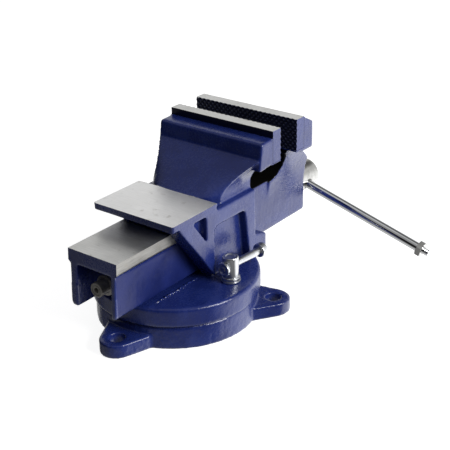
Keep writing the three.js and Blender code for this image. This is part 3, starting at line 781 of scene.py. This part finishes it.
@dataclass
class Zone:
    """A box that picks out faces of a casting, in millimetres.

    Attributes:
        low: the box's lowest corner.
        high: the box's highest corner.
        facing: the way that its faces look.
        finish: the index of their material.
    """

    low: Tuple[float, float, float]
    high: Tuple[float, float, float]
    facing: Facing = Facing.UP
    finish: int = 1

    def holds(self, points: Array, margin: float = 0.0) -> Array:
        """Which points are inside the box, grown by a margin."""
        low, high = np.array(self.low) - margin, np.array(self.high) + margin
        return np.all((points >= low) & (points <= high), axis=1)

    def covers(self, centres: Array, normals: Array) -> Array:
        """Which faces the zone picks out.

        Args:
            centres: the faces' middles.
            normals: the ways that they look.
        Returns:
            True for each face inside the box that looks the zone's way.
        """
        across = np.abs(normals[:, 0])
        looks = {Facing.UP: normals[:, 2] > 0.92, Facing.SIDE: across > 0.92,
                 Facing.LENGTHWISE: across < 0.75}
        return self.holds(centres) & looks[self.facing]


@dataclass
class Casting:
    """A sand casting: the node's shape, its edges run soft, its skin slightly wavy.

    Attributes:
        node: the node that it replaces.
        body: the body that it rides on.
        cell: size of the skin's faces.
        passes: smoothing passes; more give rounder edges.
        wave: height of the skin's waves.
        keep: zones that aren't smoothed.
        ground: machined faces, which stay flat and bare.
        coated: cast faces with another coat.
        finishes: materials, the enamel first.
    """

    node: str
    body: str
    cell: float = 1.15
    passes: int = 4
    wave: float = 0.10
    keep: Sequence[Zone] = ()
    ground: Sequence[Zone] = ()
    coated: Sequence[Zone] = ()
    finishes: Sequence[Finish] = (ENAMEL, GROUND)

    def skin(self) -> bpy.types.Mesh:
        """Covers the node's surface with an even net that keeps its sharp edges.

        Returns:
            The net.
        """
        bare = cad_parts[self.node].data.copy()
        bare.materials.clear()
        tidy_mesh(bare, 1e-6)
        span = float(np.ptp(positions(bare), axis=0).max())
        depth = math.ceil(math.log2(span / 0.98 / self.cell))

        def remesh(work: bpy.types.Object) -> None:
            """Adds the Remesh modifier.

            Args:
                work: the object that gets it.
            """
            net = work.modifiers.new("net", "REMESH")
            net.mode, net.octree_depth, net.sharpness = "SHARP", depth, 1.0
            net.scale = span / self.cell / 2 ** depth
            net.use_remove_disconnected = False

        return applied(bare, remesh)

    def hold(self, points: Array) -> Array:
        """How freely each point may move: 0 in kept and ground zones, 1 elsewhere.

        Args:
            points: rows of positions.
        Returns:
            0 or 1 for each point.
        """
        free = np.ones(len(points))
        for zone in self.keep:
            free[zone.holds(points)] = 0.0
        for zone in self.ground:
            free[zone.holds(points, 1.2)] = 0.0
        return free

    def soften(self, points: Array, pairs: Array, free: Array) -> Array:
        """Rounds the edges of the net.

        Each pass moves every point half of the way to the mean of its neighbours, times how
        freely it may move.

        Args:
            points: rows of positions.
            pairs: the net's edges.
            free: 0 to 1 for each point.
        Returns:
            The new positions.
        """
        count = len(points)
        a, b = pairs[:, 0], pairs[:, 1]
        near = np.maximum(np.bincount(a, minlength=count) + np.bincount(b, minlength=count), 1)
        for _ in range(self.passes):
            total = np.stack([np.bincount(a, points[b, k], count)
                              + np.bincount(b, points[a, k], count) for k in range(3)], 1)
            points = points + 0.5 * free[:, None] * (total / near[:, None] - points)
        return points

    def build(self) -> bpy.types.Object:
        """Builds the casting and gives its faces their materials.

        Each point moves along its normal by the wave height times the sum of a slow and a
        quick ripple less 0.8, times how freely it may move.

        Returns:
            The piece.
        """
        mesh = self.skin()
        points = positions(mesh)
        free = self.hold(points)
        points = self.soften(points, read(mesh.edges, "vertices", 2), free)
        place(mesh, points)
        height = self.wave * (ripple(points, 15.0, 3) + 0.6 * ripple(points, 6.0, 5) - 0.8)
        place(mesh, points + (height * free)[:, None] * read(mesh.vertices, "normal"))
        centres, facing = read(mesh.polygons, "center") / MM, read(mesh.polygons, "normal")
        index = np.zeros(len(mesh.polygons), np.int32)
        for zone in [*self.coated, *self.ground]:
            index[zone.covers(centres, facing)] = zone.finish
        mesh.polygons.foreach_set("material_index", index)
        return finished(self.node + "_cast", mesh, self.body, self.finishes, [self.node], 50.0)


# ---- Sub-assemblies ----------------------------------------------------------------------


@dataclass
class SwivelBase:
    """The round base with three bolt ears."""

    cell: float = 1.1
    passes: int = 5
    wave: float = 0.16

    def build(self) -> None:
        """Builds the base casting."""
        Casting("swivel_base", "base", self.cell, self.passes, self.wave,
                finishes=(BASE_ENAMEL, GROUND)).build()


@dataclass
class ViseBody:
    """The body: disc, cheeks, anvil and fixed jaw."""

    anvil_half: float = 38.7
    anvil_top: float = 98.3
    anvil_front: float = -5.0
    anvil_rear: float = 46.7
    channel_half: float = 24.6
    channel_top: float = 84.0
    disc_top: float = 35.4
    bead_x: float = -24.4
    bead_front: float = 0.5
    bead_rear: float = 54.0
    plate_low: Tuple[float, float, float] = (-51.0, -73.0, 112.8)
    plate_high: Tuple[float, float, float] = (51.0, -58.6, 141.0)

    def build(self) -> None:
        """Builds the body casting, with its anvil ground, and the bead."""
        channel = Zone((-self.channel_half, -80.0, self.disc_top - 1.0),
                       (self.channel_half, 60.0, self.channel_top))
        anvil = Zone((-self.anvil_half, self.anvil_front, self.anvil_top - 0.25),
                     (self.anvil_half, self.anvil_rear, self.anvil_top + 0.3))
        keep = [channel, Zone(self.plate_low, self.plate_high)]
        # The anvil's ground top takes the brighter steel, which is painted light.
        Casting("vise_body", "body", keep=keep, ground=[anvil],
                finishes=(ENAMEL, LIT_GROUND_ANVIL)).build()
        self.bead()

    def bead(self) -> None:
        """Builds the lumpy bead of enamel that has run along the foot of the slide's channel.

        Point (t, angle) lies around a line along Y at a radius of 0.55 plus 2.2 times a fast
        ripple, kept from 0.10 to 1.35, and shrinks to a pole at both ends.
        """
        t = np.linspace(0, 1, 261)[:, None]
        angle = np.linspace(0, TAU, 12, endpoint=False)
        y = self.bead_front + (self.bead_rear - self.bead_front) * t
        spine = np.stack([self.bead_x + 0 * t, y, self.disc_top + 0 * t], -1)
        wander = ripple(spine.reshape(-1, 3), 7.0, 11)[:, None]
        way = np.stack([np.cos(angle) + 0 * t, 0 * angle + 0 * t, np.sin(angle) + 0 * t], -1)
        lumps = ripple((spine + way).reshape(-1, 3), 1.5, 12).reshape(len(t), -1)
        radius = np.clip(0.55 + 2.2 * lumps, 0.10, 1.35) * np.sqrt(np.sin(math.pi * t))
        points = spine + way * radius[..., None]
        points[..., 0] += 0.9 * wander
        mesh = grid_mesh("enamel_bead", points)
        finished("enamel_bead", mesh, "body", (BEAD,), [], 80.0)


@dataclass
class MovingJaw:
    """The slide, arm and head of the moving jaw."""

    slide_half: float = 23.45
    slide_top: float = 82.7
    slide_rear: float = 90.0
    slide_root: float = -52.0
    leg_inside: float = 20.5
    leg_low: float = 37.0
    leg_front: float = -50.0
    band_height: float = 9.0
    throat_half: float = 34.0
    throat_front: float = -115.0
    plate_low: Tuple[float, float, float] = (-51.0, -104.6, 112.8)
    plate_high: Tuple[float, float, float] = (51.0, -90.0, 141.0)

    def build(self) -> None:
        """Builds the casting: ground top and side bands, the side bands' steel darkened as painted
        shade, legs in enamel darkened as painted shade, and a throat painted near black as shade.
        """
        half, rear, band = self.slide_half, self.slide_rear, self.slide_top - self.band_height
        top = Zone((-half - 0.2, self.slide_root, self.slide_top - 0.25),
                   (half + 0.2, rear + 0.1, self.slide_top + 0.3))
        # The side bands take the darker ground steel, which is painted shade.
        bands = [Zone((low, self.slide_root, band - 0.1), (high, rear + 0.7, self.slide_top + 0.2),
                      Facing.SIDE, 2)
                 for low, high in ((-half - 0.2, -half + 0.3), (half - 0.3, half + 0.2))]
        # The legs take the darker enamel, which is painted shade along the slide's sides.
        legs = [Zone((low, self.leg_front, self.leg_low), (high, rear - 0.3, band - 0.3),
                     Facing.SIDE, 3)
                for low, high in ((-half, -self.leg_inside), (self.leg_inside, half))]
        # The throat's faces are painted near black as shade.
        throat = Zone((-self.throat_half, self.throat_front, 81.0),
                      (self.throat_half, self.slide_root, 112.5), Facing.LENGTHWISE, 4)
        screw_seat = Zone((-8.6, -152.0, 45.0), (8.6, -126.0, 64.0))
        Casting("moving_jaw", "jaw", 1.2, keep=[Zone(self.plate_low, self.plate_high), screw_seat],
                ground=[top, *bands], coated=[*legs, throat],
                finishes=(ENAMEL, GROUND, SHADED_GROUND_BAND, SHADED_SLIDE_ENAMEL, THROAT_SHADE)).build()


@dataclass
class JawPlate:
    """A serrated jaw plate: enamelled sides, a near-black back that is painted shade, ground top,
    toothed face.
    """

    name: str
    body: str
    face_y: float
    direction: int
    half: float = 50.0
    low: float = 114.5
    high: float = 140.5
    thickness: float = 10.4
    pitch: float = 3.1
    depth: float = 0.75
    screw_x: float = 24.0
    screw_z: float = 124.5
    head: float = 5.5

    def relief(self, x: Array, z: Array) -> Array:
        """How deep the face lies under its plane.

        Two families of V grooves run along the diagonals; the depth is the greater of the
        two. Round each screw the face falls away in a cone for the countersunk head.

        Args:
            x: positions across.
            z: heights.
        Returns:
            The depth at each place.
        """
        depth = np.zeros_like(x)
        for across in (x + z, x - z):
            phase = (across / math.sqrt(2) / self.pitch) % 1.0
            depth = np.maximum(depth, self.depth * np.clip(1 - np.abs(phase - 0.5) * 2.6, 0, 1))
        for side in (-1, 1):
            reach = np.hypot(x - side * self.screw_x, z - self.screw_z)
            cone = np.clip(self.head - reach + 0.4, 0, 3.0) * (reach < self.head)
            depth = np.maximum(depth, cone)
        return depth

    def build(self) -> None:
        """Builds the plate: a grid for the face, strips for the edges and a flat back."""
        x, z = np.meshgrid(np.linspace(-self.half, self.half, 251),
                           np.linspace(self.low, self.high, 66), indexing="ij")
        deep = self.relief(x, z)
        front = np.stack([x, self.face_y + self.direction * deep, z], -1)
        rows, columns = x.shape
        number = np.arange(rows * columns).reshape(rows, columns)
        i, j = number[:-1, :-1], number[1:, 1:]
        faces = np.stack([i, number[:-1, 1:], j, number[1:, :-1]], -1).reshape(-1, 4).tolist()
        ring = np.concatenate([number[:, 0], number[-1, 1:], number[-2::-1, -1],
                               number[0, -2:0:-1]])
        flat = front.reshape(-1, 3)
        back = flat[ring].copy()
        back[:, 1] = self.face_y + self.direction * self.thickness
        start = rows * columns
        step = np.arange(len(ring))
        after = (step + 1) % len(ring)
        faces += np.stack([ring, ring[after], start + after, start + step], -1).tolist()
        faces.append((start + step).tolist())
        mesh = bpy.data.meshes.new(self.name)
        mesh.from_pydata((np.concatenate([flat, back]) * MM).tolist(), [], faces)
        tidy_mesh(mesh, 1e-7)
        facing = read(mesh.polygons, "normal")
        index = np.where(facing[:, 1] * -self.direction > 0.2, 2, 0)
        # Backs are painted near black as shade.
        index[facing[:, 1] * self.direction > 0.9] = 3
        index[facing[:, 2] > 0.9] = 1
        mesh.polygons.foreach_set("material_index", index.astype(np.int32))
        finished(self.name + "_toothed", mesh, self.body, (ENAMEL, GROUND, TEETH, PLATE_BACK_SHADE),
                 [self.name], 30.0)


@dataclass
class Spindle:
    """The lead screw with its head, handle and retaining parts."""

    axis_z: float = 54.5
    tilt: float = 15.6
    back_y: float = -152.1
    head_length: float = 32.5
    head_radius: float = 13.1
    socket_depth: float = 8.4
    screw_radius: float = 8.0
    screw_rear: float = 88.0
    screw_end: float = 9.0
    pitch: float = 5.0
    handle_y: float = -168.1
    handle_radius: float = 4.0
    handle_far: float = -127.5
    handle_near: float = 13.4
    nut_thickness: float = 5.0
    nut_flats: float = 12.4
    stub: float = 5.5
    stub_radius: float = 3.0
    thrust_y: float = -151.8
    thrust_outer: float = 14.0
    spring_outer: float = 11.7
    washer_bore: float = 8.3
    washer_thickness: float = 2.0
    coil_radius: float = 10.4
    coil_turns: float = 4.0
    coil_wire: float = 1.3
    axes: Axes = field(init=False)

    def __post_init__(self) -> None:
        """Works out the spindle's frame, turned about Y by the handle's tilt."""
        a = math.radians(self.tilt)
        self.axes = Axes((0, 0, self.axis_z), (math.cos(a), 0, math.sin(a)), (0, 1, 0),
                         (-math.sin(a), 0, math.cos(a)))

    def screw(self) -> None:
        """Builds the lead screw: a socket end, the thread and a turned-down, drilled end."""
        front = self.back_y - self.socket_depth + 0.3
        neck, rear = self.back_y + 0.3, self.screw_rear
        shoulder = rear - self.screw_end
        run = np.linspace(neck + 0.6, shoulder - 0.8, 880)
        start = [(0, front), (7.2, front), (7.6, front + 0.4), (7.6, neck), (7.9, neck)]
        body = np.stack([np.full_like(run, self.screw_radius), run], 1)
        end = rounded([(self.screw_radius, shoulder - 0.6), (self.screw_radius, shoulder, 0.5),
                       (6.1, shoulder + 0.3, 0.3), (5.8, shoulder + 1.2), (5.8, rear, 0.7),
                       (4.3, rear, 0.1), (4.1, rear - 0.45, 0.1), (3.5, rear - 0.45, 0.1),
                       (3.3, rear, 0.1), (2.1, rear, 0.3), (1.6, rear - 3.0), (0, rear - 3.4)])
        profile = np.concatenate([np.array(start, float), body, end])
        mesh = threaded("lead_screw_cut", profile, self.axes.along("y"), self.pitch, 1.5,
                        (-145.0, shoulder - 1.5))
        finished("lead_screw_cut", mesh, "spindle", (WORN,), ["lead_screw"])

    def head(self) -> None:
        """Builds the turned head in chrome darkened as painted shade, cross-drilled for the handle.
        """
        front = self.back_y - self.head_length
        r = self.head_radius
        profile = rounded([(0, front), (4.0, front), (r, front, 2.2), (r, front + 4),
                           (r, self.back_y, 1.3), (7.9, self.back_y, 0.3),
                           (7.9, self.back_y - self.socket_depth),
                           (0, self.back_y - self.socket_depth)], 7)
        body = turned("spindle_head_turned", profile, self.axes.along("y"), 112)
        hole = self.handle_radius + 0.4
        spool = rounded([(0, -r - 2), (hole + 1.4, -r - 2), (hole + 1.4, -r - 0.4),
                         (hole, -r + 1.2, 1.0), (hole, r - 1.2, 1.0), (hole + 1.4, r + 0.4),
                         (hole + 1.4, r + 2), (0, r + 2)])
        cutter = turned("handle_hole", spool, self.axes.along("x", (0, self.handle_y, 0)), 56)
        bore = np.array([(0, -r - 1), (2.1, -r - 1), (2.1, r + 1), (0, r + 1)], float)
        pin = turned("pin_hole", bore,
                     self.axes.along("z", (0, self.back_y - self.socket_depth / 2, 0)), 24)
        finished("spindle_head_turned", drilled(body, cutter, pin), "spindle", (SHADED_CHROME,),
                 ["spindle_head"], 32.0)

    def retaining(self) -> None:
        """Builds the washers and the spring behind the arm's wall."""
        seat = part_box("spring_washer")[0][1] / MM
        for node, outer, y in (("thrust_washer", self.thrust_outer, self.thrust_y),
                               ("spring_washer", self.spring_outer, seat)):
            washer(node + "_turned", node, "spindle", outer, self.washer_bore,
                   self.washer_thickness, self.axes.along("y", (0, y, 0)), ZINC)
        low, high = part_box("retaining_spring")
        radius, turns, wire = self.coil_radius, self.coil_turns, self.coil_wire
        front, back = low[1] / MM + wire, high[1] / MM - wire

        def coil(t: Array) -> Array:
            """A helix of constant pitch: angle and height both grow evenly with t.

            Args:
                t: places along it, 0 to 1.
            Returns:
                Rows of points.
            """
            angle = t * turns * TAU
            return np.stack([radius * np.cos(angle), radius * np.sin(angle), (back - front) * t], 1)

        mesh = tube("retaining_spring_coiled", coil, wire, self.axes.along("y", (0, front, 0)), 192)
        finished("retaining_spring_coiled", mesh, "spindle", (BLACK,), ["retaining_spring"])

    def handle(self) -> None:
        """Builds the sliding handle with a nut on each threaded end.

        The bar is a turned profile. On its ends the radius dips by 0.28 times a sine of
        height less angle / turn, which is a thread that advances 1 mm a turn.
        """
        far, near = self.handle_far, self.handle_near
        tip, top = far - self.nut_thickness - self.stub, near + self.nut_thickness + self.stub
        r, s = self.handle_radius, self.stub_radius
        axes = self.axes.along("x", (0, self.handle_y, 0))
        ends = [np.linspace(tip + 0.9, far - 0.05, 90), np.linspace(near + 0.05, top - 0.9, 90)]
        profile = np.concatenate([
            np.array([(0, tip), (s - 0.8, tip), (s - 0.3, tip + 0.25), (s, tip + 0.8)]),
            np.stack([np.full(90, s), ends[0]], 1),
            rounded([(s, far), (s, far + 0.3), (r, far + 0.3, 0.5), (r, -40), (r, near - 0.3, 0.5),
                     (s, near - 0.3), (s, near)]),
            np.stack([np.full(90, s), ends[1]], 1),
            np.array([(s, top - 0.8), (s - 0.3, top - 0.25), (s - 0.8, top), (0, top)])])
        angle = np.linspace(0, TAU, 56, endpoint=False)
        radius, height = profile[:, :1], profile[:, 1:] + 0 * angle
        wave = 0.5 + 0.5 * np.sin((height - angle / TAU) * TAU)
        threads = (((height < far - 0.3) & (height > tip + 0.8))
                   | ((height > near + 0.3) & (height < top - 0.8)))
        cut = radius - 0.28 * wave * threads
        points = np.stack([cut * np.cos(angle), cut * np.sin(angle), height], -1)
        finished("handle_bar_turned", grid_mesh("handle_bar_turned", axes.put(points)), "handle",
                 (CHROME,), ["handle_bar"])
        for node, start in (("handle_nut_far", far - self.nut_thickness),
                            ("handle_nut_near", near)):
            nut = hexagon_nut(node + "_hex", self.nut_flats, self.nut_thickness, s + 0.05,
                              self.axes.along("x", (start, self.handle_y, 0)))
            # The nuts take the darker chrome, which is painted shade.
            finished(node + "_hex", nut, "handle", (SHADED_CHROME,), [node], 20.0)

    def build(self) -> None:
        """Builds every piece of the spindle."""
        self.screw()
        self.head()
        self.retaining()
        self.handle()


def washer(name: str, node: str, body: str, outer: float, inner: float, thickness: float,
           axes: Axes, finish: Finish) -> None:
    """Builds a flat washer with rounded edges and a stamped dip.

    Args:
        name: the piece's name.
        node: the node that it replaces.
        body: the body that it rides on.
        outer: outer radius.
        inner: bore radius.
        thickness: its thickness.
        axes: where it goes, its foot at 0.
        finish: its material.
    """
    edge = min(0.4, thickness * 0.3)
    middle = (outer + inner) / 2
    profile = rounded([(middle, 0), (outer, 0, edge), (outer, thickness, edge),
                       (outer - 1.3, thickness, 0.2), (middle, thickness - 0.06),
                       (inner, thickness, edge), (inner, 0, edge), (middle, 0)], 4)
    finished(name, turned(name, profile, axes, 80), body, (finish,), [node])


@dataclass
class SwivelLock:
    """One swivel lock: washer, round nut, sliding bar and its two caps."""

    side: int
    name: str
    x: float = 47.5
    y: float = -8.0
    foot: float = 35.7
    washer_outer: float = 7.6
    washer_bore: float = 4.3
    washer_thickness: float = 1.6
    bar_angle: float = 4.2
    nut_foot: float = 37.6
    nut_height: float = 18.8
    nut_radius: float = 6.2
    flange: float = 7.2
    flange_height: float = 2.2
    bar_radius: float = 3.0
    bar_rise: float = 10.4
    reach: float = 32.5
    cap_far: float = 5.5
    cap_near: float = 2.5
    cap_radius: float = 5.6

    def axes(self, z: float) -> Axes:
        """The lock's frame, turned outward by the bar's angle.

        Args:
            z: height of its origin.
        Returns:
            The axes.
        """
        a = math.radians(self.side * self.bar_angle)
        return Axes((self.side * self.x, self.y, z), (math.cos(a), math.sin(a), 0),
                    (-math.sin(a), math.cos(a), 0), (0, 0, 1))

    def nut(self) -> None:
        """Builds the washer and the round nut, cross-drilled for the bar."""
        washer(f"lock_washer_{self.name}_turned", f"lock_washer_{self.name}", "body",
               self.washer_outer, self.washer_bore, self.washer_thickness,
               self.axes(self.foot), ZINC)
        r, h = self.nut_radius, self.nut_height
        profile = rounded([(0, 0), (self.flange, 0, 0.3), (self.flange, self.flange_height, 0.7),
                           (r, self.flange_height, 0.5), (r, h, 1.1), (r - 2.4, h, 0.3),
                           (r - 2.9, h - 0.5, 0.2), (0, h - 0.5)], 6)
        body = turned(f"lock_nut_{self.name}_turned", profile, self.axes(self.nut_foot), 96)
        hole = self.bar_radius + 0.4
        spool = rounded([(0, -r - 2), (hole + 1.0, -r - 2), (hole + 1.0, -r),
                         (hole, -r + 1.4, 0.6), (hole, r - 1.4, 0.6), (hole + 1.0, r),
                         (hole + 1.0, r + 2), (0, r + 2)])
        cutter = turned("bar_hole", spool,
                        self.axes(self.nut_foot).along("y", (0, 0, self.bar_rise)), 40)
        finished(f"lock_nut_{self.name}_turned", drilled(body, cutter), f"lock_{self.name}",
                 (ZINC,), [f"lock_nut_{self.name}"], 32.0)

    def bar(self) -> None:
        """Builds the bar and the caps riveted onto its ends."""
        own = self.axes(self.nut_foot)
        axes = own.along("y", (0, 0, self.bar_rise))
        near, far = self.nut_radius + 0.3, -self.reach - self.cap_far
        r, s = self.bar_radius, self.bar_radius - 0.8
        profile = rounded([(0, far + 0.15), (s * 0.7, far + 0.02, 0.4), (s, far + 0.5, 0.3),
                           (s, -self.reach + 0.3), (r, -self.reach + 0.3, 0.2),
                           (r, near - 0.3, 0.2), (s, near - 0.3),
                           (s, near + self.cap_near - 0.5, 0.3),
                           (s * 0.7, near + self.cap_near - 0.02, 0.4),
                           (0, near + self.cap_near - 0.15)], 5)
        node, body = f"lock_bar_{self.name}", f"lock_bar_{self.name}"
        finished(node + "_turned", turned(node + "_turned", profile, axes, 48), body, (ZINC,),
                 [node])
        for end, start, thick, crown in (("rear", near, self.cap_near, 0.35),
                                         ("front", far, self.cap_far, 0.0)):
            node, c, b = f"lock_cap_{end}_{self.name}", self.cap_radius, s + 0.25
            profile = rounded([(b, crown), (c - 1.9, 0, 0.3), (c, 0, 0.8), (c, thick, 0.9),
                               (c - 1.7, thick, 0.2), (c - 2.0, thick - crown, 0.15),
                               (b, thick - crown, 0.2), (b, crown)], 6)
            cap = turned(node + "_turned", profile,
                         own.along("y", (0, start, self.bar_rise)), 72)
            finished(node + "_turned", cap, body, (ZINC,), [node])

    def build(self) -> None:
        """Builds every piece of the lock."""
        self.nut()
        self.bar()


@dataclass
class Fasteners:
    """Bolts, pins and the main nut, which keep their solids and get soft edges."""

    bevel: float = 0.25
    sharp: float = 35.0

    def build(self) -> None:
        """Adds a weld and a bevel to each and gives it its finish."""
        kept = {"main_nut": IRON, "nut_bolt": BLACK, "nut_bolt_washer": ZINC, "split_pin": ZINC,
                "spindle_head_pin": BLACK, "lock_bolt_left": BLACK, "lock_bolt_right": BLACK}
        for jaw in ("fixed", "moving"):
            for side in ("left", "right"):
                kept[f"{jaw}_plate_screw_{side}"] = BLACK
        for name, finish in kept.items():
            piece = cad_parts[name]
            piece.material_slots[0].material = finish.material()
            weld = piece.modifiers.new("weld", "WELD")
            weld.merge_threshold = 1e-6
            soft = piece.modifiers.new("soft_edges", "BEVEL")
            soft.width, soft.segments, soft.limit_method = self.bevel * MM, 2, "ANGLE"
            soft.angle_limit, soft.harden_normals = math.radians(self.sharp), False
            log.info("%s: kept with %s", name, finish.name)


# ---- Studio ------------------------------------------------------------------------------


@dataclass
class Studio:
    """The floor, the light and the camera."""

    eye: Tuple[float, float, float] = (-478.3, 552.8, 416.1)
    right: Tuple[float, float, float] = (-0.7941, -0.6075, -0.0172)
    up: Tuple[float, float, float] = (0.2467, -0.3481, 0.9044)
    back: Tuple[float, float, float] = (-0.5554, 0.7140, 0.4263)
    lens: float = 84.217
    shift: Tuple[float, float] = (0.002, -0.0018)
    key_at: Tuple[float, float, float] = (-1.55, -0.15, 0.85)
    key_size: float = 0.9
    key_power: float = 30.0
    top_at: Tuple[float, float, float] = (0.1, 0.1, 1.8)
    top_size: float = 1.0
    top_power: float = 0.6
    floor_reach: float = 6.0
    floor_drop: float = 0.0002
    floor_glow: float = 0.86

    def camera(self) -> None:
        """Adds the camera."""
        data = bpy.data.cameras.new("camera")
        data.lens, data.sensor_width = self.lens, 36.0
        data.shift_x, data.shift_y = self.shift
        data.clip_start, data.clip_end = 0.01, 50.0
        view = bpy.data.objects.new("camera", data)
        turn = Matrix((self.right, self.up, self.back)).transposed().to_4x4()
        view.matrix_world = Matrix.Translation(Vector(self.eye) * MM) @ turn
        bpy.context.scene.collection.objects.link(view)
        bpy.context.scene.camera = view

    def floor(self) -> None:
        """Adds a wide pale floor that the camera sees and reflections don't."""
        mesh = bpy.data.meshes.new("floor")
        r = self.floor_reach
        mesh.from_pydata([(-r, -r, 0), (r, -r, 0), (r, r, 0), (-r, r, 0)], [], [(0, 1, 2, 3)])
        ground = bpy.data.objects.new("floor", mesh)
        ground.location.z = -self.floor_drop
        bpy.context.scene.collection.objects.link(ground)
        material = bpy.data.materials.new("pale_floor")
        material.use_nodes = True
        shader = Shader(material.node_tree)
        inputs = {"Base Color": (0.55, 0.55, 0.555, 1), "Roughness": 0.9, "Specular IOR Level": 0.0,
                  "Emission Color": (1, 1, 1, 1), "Emission Strength": self.floor_glow}
        surface = shader.node("ShaderNodeBsdfPrincipled", {}, inputs)
        shader.node("ShaderNodeOutputMaterial", {}, {"Surface": surface.outputs[0]})
        mesh.materials.append(material)
        ground.visible_diffuse = ground.visible_glossy = False

    def lamp(self, name: str, at: Tuple[float, float, float], size: float,
             power: float) -> None:
        """Adds a soft box that looks at the vise.

        Args:
            name: its name.
            at: its place, in metres.
            size: its width, in metres.
            power: its power, in watts.
        """
        data = bpy.data.lights.new(name, "AREA")
        data.shape, data.size, data.energy = "DISK", size, power
        lamp = bpy.data.objects.new(name, data)
        lamp.location = at
        aim = Vector((0, -0.03, 0.07)) - Vector(at)
        lamp.rotation_euler = aim.to_track_quat("-Z", "Y").to_euler()
        bpy.context.scene.collection.objects.link(lamp)

    def world(self) -> None:
        """Adds a studio surround, seen by reflections only; the camera sees plain white.

        It is bright beyond the handle's end and on a card low on the left there, softly lit
        straight down and over and under the anvil's end, and dark elsewhere.
        """
        world = bpy.data.worlds.new("studio")
        bpy.context.scene.world = world
        world.use_nodes = True
        shader = Shader(world.node_tree)
        way = shader.node("ShaderNodeTexCoord").outputs["Generated"]
        parts = shader.node("ShaderNodeSeparateXYZ", {}, {0: way}).outputs
        x, y, z = (Value(shader, part) for part in parts)
        behind = (y * -1.0).above(0.0, 0.55) * (1.0 - 0.88 * z.above(0.50, 0.66))
        card = (x * -0.53 + y * -0.68 + z * -0.50).above(0.62, 1.0)
        under = (z * -1.0).above(0.50, 0.80)
        top = z.above(0.45, 0.62) * y.above(-0.35, 0.05)
        low = (z * -1.0).above(0.15, 0.45) * y.above(0.0, 0.4)
        light = behind * 0.95 + card * 1.2 + under * 0.35 + top * 0.30 + low * 0.32 + 0.010
        sight = shader.value("ShaderNodeLightPath", {}, {}, "Is Camera Ray")
        strength = light * (1.0 - sight) + sight
        surround = shader.node("ShaderNodeBackground", {},
                               {"Color": (1, 1, 1, 1), "Strength": strength})
        shader.node("ShaderNodeOutputWorld", {}, {"Surface": surround.outputs[0]})

    def build(self) -> None:
        """Sets the studio up."""
        self.camera()
        self.floor()
        self.world()
        self.lamp("key", self.key_at, self.key_size, self.key_power)
        self.lamp("top", self.top_at, self.top_size, self.top_power)
        bpy.context.scene.view_settings.view_transform = "Standard"
        log.info("studio ready")


def main() -> None:
    """Builds the vise in order."""
    log.setLevel(logging.INFO)
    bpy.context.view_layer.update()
    Studio().build()
    SwivelBase().build()
    ViseBody().build()
    MovingJaw().build()
    JawPlate("fixed_jaw_plate", "body", -70.5, 1).build()
    JawPlate("moving_jaw_plate", "jaw", -92.0, -1).build()
    Spindle().build()
    SwivelLock(-1, "left").build()
    SwivelLock(1, "right").build()
    Fasteners().build()


if __name__ == "__main__":
    main()
